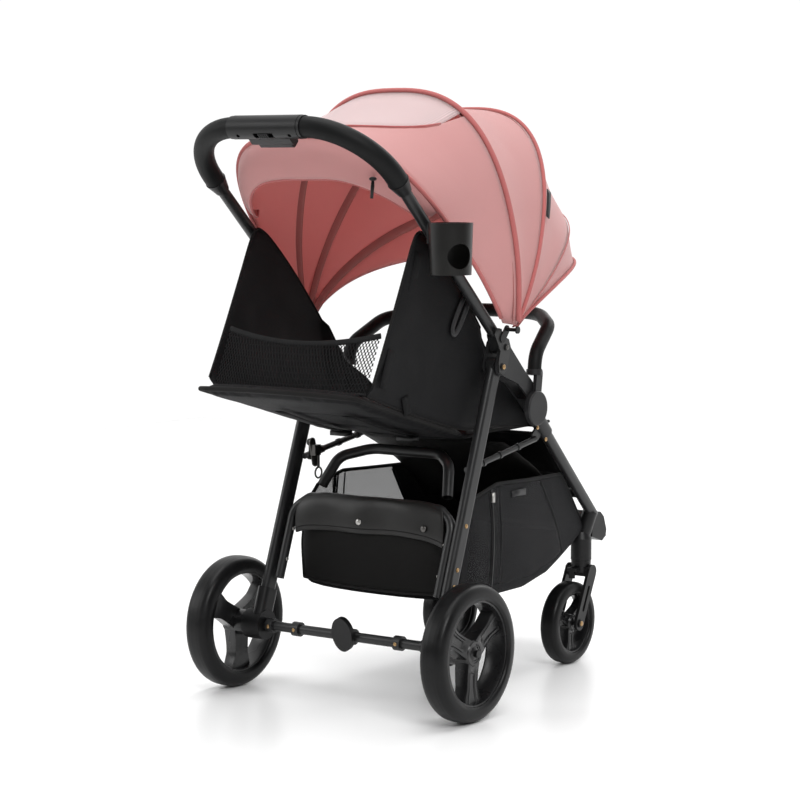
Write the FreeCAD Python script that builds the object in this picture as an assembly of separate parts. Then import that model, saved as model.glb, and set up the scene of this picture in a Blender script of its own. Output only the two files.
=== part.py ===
import FreeCAD, Part
import math
import os

from FreeCAD import Vector

os.makedirs("parts", exist_ok=True)

# A folding pushchair. Millimetres, +Z up, the front faces -Y, the child's left side is +X.
# Work is done with Y = 0 at the rear axle; every shape is moved by ORIGIN_Y on export, so that
# the finished frame has its origin on the ground at the middle of the overall length.
ORIGIN_Y = 194.22

# ---- driving dimensions -------------------------------------------------------------------
SIDE_X = 180.0                      # plane of the handle tubes and rear legs, each side
REAR_R = 110.0                      # rear wheel radius
REAR_W = 45.0                       # rear tyre width
REAR_TRACK = 236.0                  # half track
FRONT_R = 72.0
FRONT_W = 33.0
CASTER_X = 125.0                    # half distance between the swivel axes
CASTER_Y = -523.0                   # swivel axis
FRONT_AXLE_Y = -480.0
HINGE_A = Vector(0, -168.0, 579.0)  # handle pivot
HINGE_B = Vector(0, -158.0, 548.0)  # rear leg pivot
HANDLE_SLOPE = math.radians(42.9)
HANDLE_LINE = Vector(0, -114.0, 641.0)      # a point on the handle tubes' axis
HANDLE_TUBE_R = 9.5
GRIP_R = 16.5
GRIP_BEND = 115.0
GRIP_RISE = 426.0                           # from that point up the slope to the console
GRIP_END = HANDLE_LINE + Vector(0, math.cos(HANDLE_SLOPE), math.sin(HANDLE_SLOPE)) * GRIP_RISE
CONSOLE_HALF = 65.0
LEG_TOP = Vector(SIDE_X, -187.0, 553.0)     # front leg axis, upper end
LEG_FOOT = Vector(135.0, -545.0, 256.0)     # front leg axis, lower end
LEG_R = 10.0
CHEEK_IN, CHEEK_OUT = 166.0, 194.0          # the hinge sleeve across its width
SLOT_IN, SLOT_OUT = 170.0, 190.0            # the slot that the tube ends turn in
SLOT_DEPTH = 85.0
PIN_R = 4.0
PIN_GAP = 0.08
REAR_LEG_DEEP = 30.0
REAR_LEG_WIDE = 15.0
DISC = Vector(0, -254.0, 473.0)             # bumper bar pivot
DISC_R = 29.0
RAIL_X = 165.0
HOOD = Vector(0, -168.0, 608.0)             # hood pivot
BOW_W = 9.0
BOW_T = 2.5
# name: (angle from +Y towards +Z, half width, radius, roundness of the arch)
BOWS = {
    "rear": (46.5, 205.0, 427.0, 3.2),
    "top": (84.8, 227.5, 387.0, 2.7),
    "middle": (116.9, 223.5, 403.0, 2.6),
    "front": (148.0, 219.5, 372.0, 2.6),
    "visor": (162.0, 215.5, 364.0, 2.6),
}
EYE_PULL = {"rear": 3.5, "top": 11.5, "middle": 11.1, "front": 10.7, "visor": 10.3}  # narrowing at the pivot
NARROW_BELOW = 150.0
EYE_REACH = 26.0                            # the bow's straight foot, from the pivot
RECLINE = Vector(0, -128.0, 432.0)          # backrest pivot
BACK_ANGLE = math.radians(15.5)
BACK_LENGTH = 336.0
BACK_HALF = 149.0
CALF = Vector(0, -432.0, 412.0)             # calf rest pivot
CALF_ANGLE = math.radians(229.0)
CUP = Vector(-227.5, 37.0, 705.0)           # cup holder, centre of its base
CUP_R = 34.5
CUP_H = 80.0

X, Y, Z = Vector(1, 0, 0), Vector(0, 1, 0), Vector(0, 0, 1)
SIDES = (("left", 1), ("right", -1))


# ---- helpers ------------------------------------------------------------------------------
def save(name, *solids):
    """Write one node, moved to the finished frame."""
    solids = [s for shape in solids for s in (shape.Solids or [shape])]
    node = Part.makeCompound(solids) if len(solids) > 1 else solids[0].copy()
    node.translate(Vector(0, ORIGIN_Y, 0))
    node.exportStep(f"parts/{name}.step")
    print(f"{name:22s} solids {len(solids)} volume {node.Volume / 1000:9.2f} cm3 valid {node.isValid()}")


def side(shape, sign):
    """The shape for the +X side, or its mirror image for the -X side."""
    return shape if sign > 0 else shape.mirror(Vector(0, 0, 0), X)


def both(shape):
    return [shape, side(shape, -1)]


def rod(start, end, radius):
    return Part.makeCylinder(radius, (end - start).Length, start, end - start)


def rod_x(x0, x1, y, z, radius):
    return Part.makeCylinder(radius, x1 - x0, Vector(x0, y, z), X)


def box(x0, x1, y0, y1, z0, z1):
    return Part.makeBox(x1 - x0, y1 - y0, z1 - z0, Vector(x0, y0, z0))


def polar(centre, angle, radius):
    """A point in the side view: angle from +Y towards +Z."""
    return centre + Vector(0, radius * math.cos(angle), radius * math.sin(angle))


def bent_path(points, radii):
    """Straight runs joined by tangent arcs, one radius for each inner point."""
    edges, last = [], points[0]
    for k, radius in enumerate(radii, 1):
        corner = points[k]
        before = (points[k - 1] - corner).normalize()
        after = (points[k + 1] - corner).normalize()
        half = before.getAngle(after) / 2
        cut = radius / math.tan(half)
        start, end = corner + before * cut, corner + after * cut
        middle = corner + (before + after).normalize() * (radius / math.sin(half) - radius)
        if (start - last).Length > 1e-3:
            edges.append(Part.LineSegment(last, start).toShape())
        edges.append(Part.Arc(start, middle, end).toShape())
        last = end
    if (points[-1] - last).Length > 1e-3:
        edges.append(Part.LineSegment(last, points[-1]).toShape())
    return Part.Wire(edges)


def sweep(path, radius):
    first = path.Edges[0]
    start = first.valueAt(first.FirstParameter)
    ring = Part.Wire(Part.makeCircle(radius, start, first.tangentAt(first.FirstParameter)))
    return path.makePipeShell([ring], True, False)


def pipe(points, radii, outer, inner):
    path = bent_path(points, radii)
    return sweep(path, outer).cut(sweep(path, inner))


def side_plate(outline, x0, x1):
    """A plate between two X planes from its (y, z) outline."""
    corners = [Vector(x0, y, z) for y, z in outline]
    return Part.Face(Part.makePolygon(corners + corners[:1])).extrude(Vector(x1 - x0, 0, 0))


def capsule(p, q, radius, x0, x1):
    """A plate with round ends, from p to q in the side view."""
    along = (q - p).normalize()
    across = Vector(0, -along.z, along.y) * radius
    corners = [p + across, p - across, q - across, q + across]
    body = side_plate([(c.y, c.z) for c in corners], x0, x1)
    ends = [rod_x(x0, x1, c.y, c.z, radius) for c in (p, q)]
    return body.fuse(ends).removeSplitter()


def oval_bar(start, end, wide, deep):
    """A straight bar of stadium section: wide along X, deep across it."""
    along = (end - start).normalize()
    across = along.cross(X).normalize()
    flat, r = (deep - wide) / 2, wide / 2
    a, b = start + across * flat, start - across * flat
    arcs = [
        Part.LineSegment(a + X * r, b + X * r).toShape(),
        Part.Arc(b + X * r, b - across * r, b - X * r).toShape(),
        Part.LineSegment(b - X * r, a - X * r).toShape(),
        Part.Arc(a - X * r, a + across * r, a + X * r).toShape(),
    ]
    return Part.Face(Part.Wire(arcs)).extrude(end - start)


def slab(outlines):
    """A closed solid lofted through flat outlines that have the same number of corners."""
    wires = [Part.makePolygon(list(o) + [o[0]]) for o in outlines]
    return Part.makeLoft(wires, True, True)


def prism(points, push):
    return Part.Face(Part.makePolygon(list(points) + [points[0]])).extrude(push)


def leg_point(distance):
    """A point on the left front leg's axis, measured down from its upper end."""
    return LEG_TOP + (LEG_FOOT - LEG_TOP).normalize() * distance


# ---- front frame --------------------------------------------------------------------------
def front_leg():
    start, end = leg_point(SLOT_DEPTH + 6), LEG_FOOT
    return rod(start, end, LEG_R).cut(rod(start - (end - start), end + (end - start), LEG_R - 1.6))


def leg_sleeve():
    """Moulded hinge sleeve: two cheeks around the hinge, closed around the leg below it."""
    down = (leg_point(1) - leg_point(0)).normalize()
    flat_down = Vector(0, down.y, down.z).normalize()
    up = Vector(0, -flat_down.z, flat_down.y) * -1
    top = Vector(0, LEG_TOP.y, LEG_TOP.z)
    low = top + flat_down * 205
    half = 14.0
    outline = [top + up * half, low + up * half, low - up * half, top - up * half]
    body = side_plate([(p.y, p.z) for p in outline], CHEEK_IN, CHEEK_OUT)
    head = capsule(HINGE_B, HINGE_A, 14.0, CHEEK_IN, CHEEK_OUT)
    web = side_plate([(p.y, p.z) for p in (HINGE_A + Vector(0, -13, 3), top + flat_down * 40 + up * half,
                                            top + flat_down * 40 - up * half, HINGE_B + Vector(0, 2, -13))],
                     CHEEK_IN, CHEEK_OUT)
    # below the slot the sleeve follows the leg inwards
    follow = rod(leg_point(SLOT_DEPTH - 4), leg_point(205), 13.0)
    upper = body.fuse([head, web]).common(
        side_plate([(p.y, p.z) for p in (top - flat_down * 60 + up * 60, top + flat_down * 110 + up * 60,
                                         top + flat_down * 110 - up * 60, top - flat_down * 60 - up * 60)],
                   CHEEK_IN, CHEEK_OUT))
    slot_end = top + flat_down * SLOT_DEPTH
    slot = side_plate([(p.y, p.z) for p in (top - flat_down * 90 + up * 80, slot_end + up * 80,
                                            slot_end - up * 80, top - flat_down * 90 - up * 80)],
                      SLOT_IN, SLOT_OUT)
    bore = rod(leg_point(SLOT_DEPTH + 6), leg_point(230), LEG_R)
    eyes = [rod_x(150, 210, p.y, p.z, PIN_R) for p in (HINGE_A, HINGE_B)]
    return upper.fuse(follow).cut(slot).cut(bore).cut(eyes[0]).cut(eyes[1]).removeSplitter()


def hinge_plate():
    """Steel plate outside the sleeve, from the handle's end down to the rear leg's pin."""
    outline = [(-134, 602), (-141, 612), (-154, 610), (-160, 598), (-176, 592), (-182, 578),
               (-176, 560), (-170, 542), (-160, 535), (-148, 539), (-146, 556), (-151, 574)]
    plate = side_plate(outline, CHEEK_OUT, CHEEK_OUT + 2.5)
    for p in (HINGE_A, HINGE_B):
        plate = plate.cut(rod_x(150, 210, p.y, p.z, PIN_R))
    return plate


def hinge_pins():
    parts = []
    for p, head in ((HINGE_A, 5.5), (HINGE_B, 6.0)):
        shank = rod_x(CHEEK_IN, CHEEK_OUT + 2.5, p.y, p.z, PIN_R)
        cap = rod_x(CHEEK_OUT + 2.5, CHEEK_OUT + 4.5, p.y, p.z, head)
        foot = rod_x(CHEEK_IN - 2, CHEEK_IN, p.y, p.z, head)
        parts.append(shank.fuse([cap, foot]))
    return parts


def side_rail(tab=False):
    """Seat side rail with clamp rings and a front bracket; the left one has a tab for the latch."""
    rear, front = Vector(RAIL_X, -100, 383.5), Vector(RAIL_X, -306, 415)
    along = (front - rear).normalize()
    bar = rod(rear, front, 5.0)
    rings = [rod(rear + along * d, rear + along * (d + 6), 6.5) for d in (45, 95, 150)]
    bracket = side_plate([(-296, 408), (-318, 412), (-330, 424), (-316, 436), (-300, 424)], 160, 164)
    if tab:
        pivot = rear_leg_point(150, 0)
        rings.append(capsule(rear + Y * -6, pivot, 6.0, RAIL_X - 9, RAIL_X - 5))
    leg = side(rod(leg_point(0), LEG_FOOT, LEG_R + 0.2), 1)
    return bar.fuse(rings).fuse(bracket).cut([leg, leg_sleeve()]).removeSplitter()


def crossbar():
    """Tube between the front legs, its ends cut to the legs."""
    y, z = -492.0, 300.0
    half = 141.8
    tube = rod_x(-half, half, y, z, 8.0).cut(rod_x(-half - 1, half + 1, y, z, 6.6))
    for s in (1, -1):
        tube = tube.cut(side(rod(leg_point(0), LEG_FOOT, LEG_R), s))
    return tube


def footboard():
    outline = [(-556, 214), (-590, 203), (-603, 210), (-605, 222), (-596, 246), (-584, 256), (-566, 258), (-556, 246)]
    board = side_plate(outline, -128, 128)
    hollow = side_plate([(-562, 219), (-590, 209), (-598, 216), (-592, 241), (-582, 249), (-562, 246)], -122, 122)
    shell = board.cut(hollow)
    for s in (1, -1):
        shell = shell.cut(side(rod(leg_point(0), LEG_FOOT, LEG_R), s))
        shell = shell.cut(side(rod(Vector(CASTER_X, CASTER_Y, 160), Vector(CASTER_X, CASTER_Y, 260), 19.0), s))
    return shell.removeSplitter()


def caster_housing():
    """Socket under the leg: it holds the swivel stem."""
    base = Vector(CASTER_X, CASTER_Y, 178)
    barrel = Part.makeCylinder(18.5, 38, base)
    dome = Part.makeCone(18.5, 13.0, 12, base + Z * 38)
    boss = rod(leg_point(455), base + Z * 34, 13.0)
    shape = barrel.fuse([dome, boss]).cut(rod(leg_point(0), LEG_FOOT, LEG_R))
    bore = Part.makeCylinder(6.0 + PIN_GAP, 30, base - Z * 2)
    return shape.cut(bore).removeSplitter()


def brace_tube():
    """Bent brace under the seat."""
    low, high, middle = Vector(128, -100, 336), Vector(112, -128, 384), Vector(70, -165, 397)
    points = [low, high, middle, Vector(-70, -165, 397), Vector(-112, -128, 384), Vector(-128, -100, 336)]
    return pipe(points, [34, 40, 40, 34], 9.0, 7.6)


def seat_pad():
    """Seat cushion and the fabric sides that rise to the hinges."""
    top, bottom = 446.0, 420.0
    plan = [(-118, -425), (118, -425), (138, -330), (138, -140), (-138, -140), (-138, -330)]
    pad = prism([Vector(x, y, bottom) for x, y in plan], Vector(0, 0, top - bottom))
    flank = [(-140, 446), (-300, 432), (-262, 470), (-236, 502), (-205, 530), (-175, 556), (-150, 556), (-141, 500)]
    wall = side_plate(flank, 150.0, 153.0)
    return [pad] + both(wall)


BASKET_PLAN = ((-90, 158), (-300, 156), (-420, 140), (-500, 116))      # y and half width


def basket_half(y):
    for (y0, w0), (y1, w1) in zip(BASKET_PLAN, BASKET_PLAN[1:]):
        if y >= y1:
            return w0 + (w1 - w0) * (y - y0) / (y1 - y0)
    return BASKET_PLAN[-1][1]


def basket_floor(y):
    return 163.0 if y > -300 else 163.0 + (-300 - y) * 0.30


def basket():
    """Open bag under the seat: rear wall, floor, sides and a raised front wall."""
    stations = (-92.0, -200.0, -300.0, -400.0, -500.0)
    rims = {-92.0: 296.0, -200.0: 346.0, -300.0: 346.0, -400.0: 344.0, -500.0: 262.0}

    def section(y, inset, top):
        half = basket_half(y) - inset
        floor = basket_floor(y) + inset
        return [Vector(-half, y, top), Vector(-half, y, floor + 14), Vector(-half + 14, y, floor),
                Vector(half - 14, y, floor), Vector(half, y, floor + 14), Vector(half, y, top)]

    outer = slab([section(y, 0, rims[y]) for y in stations])
    ends = (-95.0, -200.0, -300.0, -400.0, -497.0)
    inner = slab([section(y, 3, rims.get(y, 400) + 90 if y in rims else 400) for y in ends])
    return outer.cut(inner)


def basket_flap():
    """Leatherette flap over the rear wall."""
    outline = [(-86, 270), (-89.5, 270), (-92, 298), (-97, 318), (-94, 319.5), (-88, 298)]
    return side_plate(outline, -146, 146)


def harness():
    """Lap straps, shoulder straps and crotch strap as flat webbing lying over the pads."""
    lap = prism([Vector(32, -228, 450), Vector(133, -165, 450), Vector(133, -190, 450), Vector(32, -253, 450)], Z * 3)
    crotch = prism([Vector(-16, -262, 450), Vector(16, -262, 450), Vector(16, -350, 450), Vector(-16, -350, 450)], Z * 3)
    return both(lap) + [crotch]


def buckle():
    body = Part.makeCylinder(26, 12, Vector(0, -236, 454))
    button = Part.makeCylinder(10, 3, Vector(0, -236, 466))
    return [body, button]


# ---- handle -------------------------------------------------------------------------------
UP = Vector(0, math.cos(HANDLE_SLOPE), math.sin(HANDLE_SLOPE))
OVER = Vector(0, -math.sin(HANDLE_SLOPE), math.cos(HANDLE_SLOPE))


def handle_point(x, distance, lift=0.0):
    """A point by distance along the handle's slope from the pivot's height on the tube axis."""
    foot = HANDLE_LINE + UP * ((HINGE_A.z - HANDLE_LINE.z) / UP.z)
    return foot + UP * distance + OVER * lift + X * x


HANDLE_LENGTH = (GRIP_END - handle_point(0, 0)).dot(UP)


TUBE_START = 22.0                           # the round tube begins past the tang


def handle_tube():
    """Straight tube, a quarter bend into the console, and the flat tang at the pivot."""
    points = [handle_point(SIDE_X, TUBE_START), handle_point(SIDE_X, HANDLE_LENGTH), handle_point(20, HANDLE_LENGTH)]
    path = bent_path(points, [GRIP_BEND])
    tube = sweep(path, HANDLE_TUBE_R).cut(sweep(path, HANDLE_TUBE_R - 1.5))
    lower = handle_point(0, 30)
    tang = capsule(HINGE_A, lower, 11.0, SIDE_X - 8.0, SIDE_X + 8.0)
    tang = tang.cut(rod(handle_point(SIDE_X, 6), handle_point(SIDE_X, 200), HANDLE_TUBE_R - 1.5))
    hole = rod_x(150, 210, HINGE_A.y, HINGE_A.z, PIN_R + PIN_GAP)
    return tube.fuse(tang).cut(hole).removeSplitter()


def grip():
    points = [handle_point(SIDE_X, HANDLE_LENGTH - GRIP_BEND - 6), handle_point(SIDE_X, HANDLE_LENGTH),
              handle_point(CONSOLE_HALF + 6, HANDLE_LENGTH)]
    return pipe(points, [GRIP_BEND], GRIP_R, HANDLE_TUBE_R)


def collars():
    """Tapered collar at each foam end and a ring beside the console."""
    parts = []
    start = handle_point(SIDE_X, HANDLE_LENGTH - GRIP_BEND - 6)
    taper = Part.makeCone(17.5, 11.5, 24, start, UP * -1).cut(rod(start - UP * 30, start + UP, HANDLE_TUBE_R))
    parts += both(taper)
    y, z = GRIP_END.y, GRIP_END.z
    ring = rod_x(CONSOLE_HALF + 0.5, CONSOLE_HALF + 5.5, y, z, 18.0)
    parts += both(ring.cut(rod_x(0, 200, y, z, HANDLE_TUBE_R + 0.5)))
    return parts


def placed(shape):
    """Turn a shape made along X and Z at the origin into the handle's slope, at the console."""
    shape = shape.copy()
    shape.rotate(Vector(0, 0, 0), X, math.degrees(HANDLE_SLOPE) - 90)
    shape.translate(GRIP_END)
    return shape


TRIGGER_TRAVEL = 9.0
SLIDER_TRAVEL = 9.0


def console():
    """Moulded housing between the grips. Local Z points up the handle's slope."""
    half = CONSOLE_HALF
    body = rod_x(-half, half, 0, 0, 18.5)
    chin = box(-40, 40, -13, 13, -29, 0)
    chin = chin.makeFillet(6, [e for e in chin.Edges if e.BoundBox.XLength > 70])
    body = body.fuse(chin).removeSplitter()
    pocket = box(-33, 33, -9, 9, -32, -13.5)
    slot = box(-19, 19, 12.5, 22, -5, 5)
    body = body.cut(pocket).cut(slot)
    for s in (1, -1):
        body = body.cut(rod_x(min(20 * s, 70 * s), max(20 * s, 70 * s), 0, 0, HANDLE_TUBE_R))
        body = body.cut(Part.makeCylinder(3.2, 6, Vector(50 * s, 14, 0), Y))
    return placed(body)


def trigger():
    body = box(-32, 32, -8.5, 8.5, -39, -23.5)
    body = body.makeFillet(4, [e for e in body.Edges if e.BoundBox.XLength > 60 and e.BoundBox.ZMax < -35])
    return placed(body)


def slider():
    body = box(-9, 9, 13.0, 19.5, -4.5, 4.5)
    ribs = [box(x, x + 1.2, 19.5, 20.5, -4, 4) for x in (-6, -2, 2, 6)]
    return placed(body.fuse(ribs))


CLAMP_AT = 235.0


def cup_clamp():
    """Split clip on the right handle tube with the tongue that the cup holder drops over."""
    start, end = handle_point(-SIDE_X, CLAMP_AT - 13), handle_point(-SIDE_X, CLAMP_AT + 13)
    ring = rod(start, end, 12.5).cut(rod(start - UP, end + UP, HANDLE_TUBE_R))
    ring = ring.cut(box(-186, -174, -100, 200, 500, 900).common(rod(start - UP, end + UP, 20).cut(
        rod(start - UP - OVER * 9, end + UP - OVER * 9, 16))))
    pad = box(-192.5, -188.6, CUP.y - 9, CUP.y + 9, 752, 784)
    pad = pad.cut(rod(start - UP * 60, end + UP * 60, HANDLE_TUBE_R))
    return ring.fuse(pad).removeSplitter()


def cup_holder():
    base = CUP
    outer = Part.makeCone(CUP_R - 2.5, CUP_R, CUP_H, base)
    lip = Part.makeCylinder(CUP_R, 5, base + Z * (CUP_H - 5))
    cavity = Part.makeCylinder(CUP_R - 5.0, CUP_H, base + Z * 3)
    cup = outer.fuse(lip).cut(cavity)
    window = Part.makeCylinder(19.5, 60, base + Z * 29, Vector(-0.88, 0.475, 0))
    drain = Part.makeCylinder(5, 10, base - Z * 2)
    return cup.cut(window).cut(drain).removeSplitter()


# ---- rear frame ---------------------------------------------------------------------------
def rear_leg_point(distance, x=SIDE_X):
    foot = Vector(x, 3.0, REAR_R)
    top = Vector(x, HINGE_B.y, HINGE_B.z)
    return top + (foot - top).normalize() * distance


REAR_LEG_LENGTH = (Vector(0, 3.0, REAR_R) - HINGE_B).Length


def rear_leg():
    start, end = rear_leg_point(0), rear_leg_point(REAR_LEG_LENGTH - 22)
    tube = oval_bar(start, end, REAR_LEG_WIDE, REAR_LEG_DEEP)
    core = oval_bar(rear_leg_point(34), rear_leg_point(REAR_LEG_LENGTH), REAR_LEG_WIDE - 3, REAR_LEG_DEEP - 3)
    eye = rod_x(SIDE_X - REAR_LEG_WIDE / 2, SIDE_X + REAR_LEG_WIDE / 2, HINGE_B.y, HINGE_B.z, 15.0)
    hole = rod_x(150, 210, HINGE_B.y, HINGE_B.z, PIN_R + PIN_GAP)
    return tube.cut(core).fuse(eye).cut(hole).removeSplitter()


def rear_crossbar():
    """Hoop between the rear legs: it carries the basket's rear edge."""
    x = 161.0
    low, high = rear_leg_point(385, x), rear_leg_point(265, x)
    top = rear_leg_point(243, 132)
    points = [low, high, top, top - X * 264, high - X * 2 * x, low - X * 2 * x]
    hoop = pipe(points, [30, 18, 18, 30], 8.0, 6.6)
    return hoop


def hub_housing():
    """Moulding on the leg's foot: the axle stub stands out of it and the brake bar ends in it."""
    foot, up = Vector(0, 3, REAR_R), (rear_leg_point(0, 0) - rear_leg_point(10, 0)).normalize()
    socket = oval_bar(Vector(SIDE_X, 3, REAR_R) + up * 6, Vector(SIDE_X, 3, REAR_R) + up * 62, 22, 38)
    drum = rod_x(168, 204, 0, REAR_R, 25.0)
    stub = rod_x(204, 256, 0, REAR_R, 6.0)
    body = socket.fuse(drum).cut(oval_bar(rear_leg_point(0), rear_leg_point(REAR_LEG_LENGTH - 22), REAR_LEG_WIDE,
                                          REAR_LEG_DEEP))
    body = body.cut(rod_x(160, 196, 0, REAR_R, BRAKE_BAR_R + 0.4))
    pin = brake_pin_axis()
    body = body.cut(rod_x(172, 210, pin.y, pin.z, BRAKE_PIN_R + 0.3))
    return body.fuse(stub).removeSplitter()


BRAKE_BAR_R = 8.0
BRAKE_PIN_R = 3.0
BRAKE_PIN_RISE = 17.0                        # the pins' height above the axle
BRAKE_PIN_TIP = 203.0                       # they move 6 mm out into the wheel's ring of holes
BRAKE_HOLES = 8
HUB_INNER_X = 205.5                         # inboard face of the rear wheel's hub


def brake_pin_axis():
    return Vector(0, 0, REAR_R + BRAKE_PIN_RISE)


def brake_bar():
    bar = rod_x(-194, 194, 0, REAR_R, BRAKE_BAR_R).cut(rod_x(-195, 195, 0, REAR_R, BRAKE_BAR_R - 1.5))
    collars = []
    for x in (96, 150):
        ring = rod_x(x, x + 14, 0, REAR_R, 12.0).cut(rod_x(x - 1, x + 15, 0, REAR_R, BRAKE_BAR_R))
        collars += both(ring)
    return [bar] + collars


def brake_pedal():
    """Oval foot plate on a hub, leaning a little back."""
    lean = math.radians(12)
    hub = rod_x(-15, 15, 0, REAR_R, 13.0)
    oval = Part.Face(Part.Wire(Part.Ellipse(Vector(0, 0, 0), 29, 20).toShape())).extrude(Vector(0, 0, 9))
    oval.rotate(Vector(0, 0, 0), Z, 90)
    oval.rotate(Vector(0, 0, 0), X, 90 - math.degrees(lean))
    oval.translate(Vector(0, 17, REAR_R + 4))
    body = hub.fuse(oval).cut(rod_x(-40, 40, 0, REAR_R, BRAKE_BAR_R))
    return body.removeSplitter()


def brake_pin():
    p = brake_pin_axis()
    return rod_x(176, BRAKE_PIN_TIP, p.y, p.z, BRAKE_PIN_R)


LATCH_X = 152.0                             # inboard face of the latch plate, clear of the side rail


def storage_latch():
    """Hook plate and block on the left side rail's end; it holds the folded frame shut."""
    pivot = rear_leg_point(150, 0)
    plate = capsule(pivot, pivot + Vector(0, -8, -34), 8.0, LATCH_X, LATCH_X + 2)
    pin = rod_x(LATCH_X + 2, RAIL_X - 9.2, pivot.y, pivot.z, 4.0)
    block = box(LATCH_X - 8.5, LATCH_X, pivot.y - 12, pivot.y + 4, pivot.z - 22, pivot.z - 4)
    ring = Part.makeTorus(9, 1.6, pivot + Vector(LATCH_X - 4.5, -10, -52), X)
    neck = box(LATCH_X - 6, LATCH_X - 3, pivot.y - 12, pivot.y - 8, pivot.z - 44, pivot.z - 20)
    return plate.fuse([pin, block, neck, ring]).removeSplitter()


# ---- wheels -------------------------------------------------------------------------------
def revolved(outline, centre):
    """A solid of revolution about the wheel axis from (radius, x) corners."""
    corners = [Vector(x, 0, r) for r, x in outline]
    face = Part.Face(Part.makePolygon(corners + corners[:1]))
    ring = face.revolve(Vector(0, 0, 0), X, 360)
    ring.translate(centre)
    return ring


def tyre(radius, width, rim, centre):
    half, crown = width / 2, radius * 0.11
    outline = [(rim, -half * 0.72), (rim + 4, -half * 0.9), (radius - crown, -half), (radius - crown * 0.4, -half * 0.84),
               (radius - crown * 0.1, -half * 0.5), (radius, -half * 0.18), (radius, half * 0.18),
               (radius - crown * 0.1, half * 0.5), (radius - crown * 0.4, half * 0.84), (radius - crown, half),
               (rim + 4, half * 0.9), (rim, half * 0.72)]
    return revolved(outline, centre)


def rim(radius, width, rim_r, centre, bore, cap_out=0, slots=0):
    """Rim with three forked spokes, a hub bored for its axle and, inboard, the brake's ring of holes."""
    half = width / 2
    hoop = revolved([(rim_r - 5, -half * 0.7), (rim_r, -half * 0.72), (rim_r, half * 0.72), (rim_r - 5, half * 0.7)],
                    centre)
    hub_r = radius * 0.2
    inner = HUB_INNER_X if slots else centre.x - half * 0.62
    outer = centre.x + half * 0.55
    hub = rod_x(inner, outer, centre.y, centre.z, hub_r)
    arms = []
    for k in range(3):
        for spread in (-11.0, 11.0):
            arm = box(-half * 0.34, half * 0.34, -radius * 0.045, radius * 0.045, hub_r * 0.6, rim_r - 2)
            arm.rotate(Vector(0, 0, hub_r), X, spread)
            arm.rotate(Vector(0, 0, 0), X, 120 * k)
            arm.translate(centre)
            arms.append(arm)
    wheel = hoop.fuse([hub] + arms).removeSplitter()
    if slots:
        ring = rod_x(inner, inner + 7, centre.y, centre.z, slots + 9).cut(
            rod_x(inner - 1, inner + 8, centre.y, centre.z, hub_r - 1))
        wheel = wheel.fuse(ring).removeSplitter()
        for k in range(BRAKE_HOLES):
            hole = rod_x(inner - 1, inner + 8, 0, slots, BRAKE_PIN_R + 1.2)
            hole.rotate(Vector(0, 0, 0), X, 360 / BRAKE_HOLES * k)
            hole.translate(Vector(0, centre.y, centre.z))
            wheel = wheel.cut(hole)
    wheel = wheel.cut(rod_x(inner - 1, outer + 1, centre.y, centre.z, bore))
    if cap_out:
        cap = rod_x(256.6, cap_out, centre.y, centre.z, hub_r - 6).fuse(
            rod_x(outer - 2, 256.6, centre.y, centre.z, hub_r - 3).cut(
                rod_x(outer - 3, 256.6, centre.y, centre.z, bore)))
        wheel = wheel.fuse(cap).removeSplitter()
    return wheel


# ---- casters ------------------------------------------------------------------------------
FORK_GAP = FRONT_W / 2 + 3.0
BLADE_T = 5.5


def caster_fork():
    """Crown, stem, two slotted blades and the wheel's bolt."""
    x = CASTER_X
    crown = Part.makeCylinder(17.5, 21, Vector(x, CASTER_Y, 156.5))
    shoulder = box(x - FORK_GAP - BLADE_T, x + FORK_GAP + BLADE_T, CASTER_Y - 9, CASTER_Y + 12, 150, 166)
    stem = Part.makeCylinder(6.0, 24, Vector(x, CASTER_Y, 177.5))
    top, low = Vector(0, CASTER_Y + 1, 158), Vector(0, FRONT_AXLE_Y, FRONT_R)
    blades = []
    for s in (1, -1):
        x0 = x + s * FORK_GAP if s > 0 else x - FORK_GAP - BLADE_T
        blade = capsule(top, low, 12.5, x0, x0 + BLADE_T)
        a, b = top + (low - top) * 0.3, top + (low - top) * 0.74
        blades.append(blade.cut(capsule(a, b, 3.2, x0 - 1, x0 + BLADE_T + 1)))
    body = crown.fuse([shoulder, stem] + blades).removeSplitter()
    wheel_room = rod_x(x - FORK_GAP, x + FORK_GAP, FRONT_AXLE_Y, FRONT_R, FRONT_R + 4)
    body = body.cut(wheel_room)
    axle = rod_x(x - FORK_GAP - BLADE_T - 1.5, x + FORK_GAP + BLADE_T + 1.5, FRONT_AXLE_Y, FRONT_R, 4.0)
    heads = [rod_x(x + FORK_GAP + BLADE_T, x + FORK_GAP + BLADE_T + 3, FRONT_AXLE_Y, FRONT_R, 7.0),
             rod_x(x - FORK_GAP - BLADE_T - 3, x - FORK_GAP - BLADE_T, FRONT_AXLE_Y, FRONT_R, 7.0)]
    return body.fuse([axle] + heads).removeSplitter()


def swivel_lock():
    """Small lever behind the crown that drops into the housing to stop the swivel."""
    x = CASTER_X
    paddle = box(x - 9, x + 9, CASTER_Y + 19, CASTER_Y + 33, 160, 166)
    stalk = box(x - 5, x + 5, CASTER_Y + 28, CASTER_Y + 33, 148, 162)
    return paddle.fuse(stalk).removeSplitter()


# ---- seat back ----------------------------------------------------------------------------
def back_point(x, distance, lift=0.0):
    p = polar(RECLINE, BACK_ANGLE, distance)
    normal = Vector(0, -math.sin(BACK_ANGLE), math.cos(BACK_ANGLE))
    return p + normal * lift + X * x


def backrest():
    """Padded board with the shelf edge behind the child's head."""
    edge = BACK_LENGTH - 14
    plan = [(-BACK_HALF, 8), (BACK_HALF, 8), (BACK_HALF + 5, edge), (0, BACK_LENGTH), (-BACK_HALF - 5, edge)]
    return prism([back_point(x, d, -8) for x, d in plan], (back_point(0, 0, 14) - back_point(0, 0, -8)))


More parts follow.
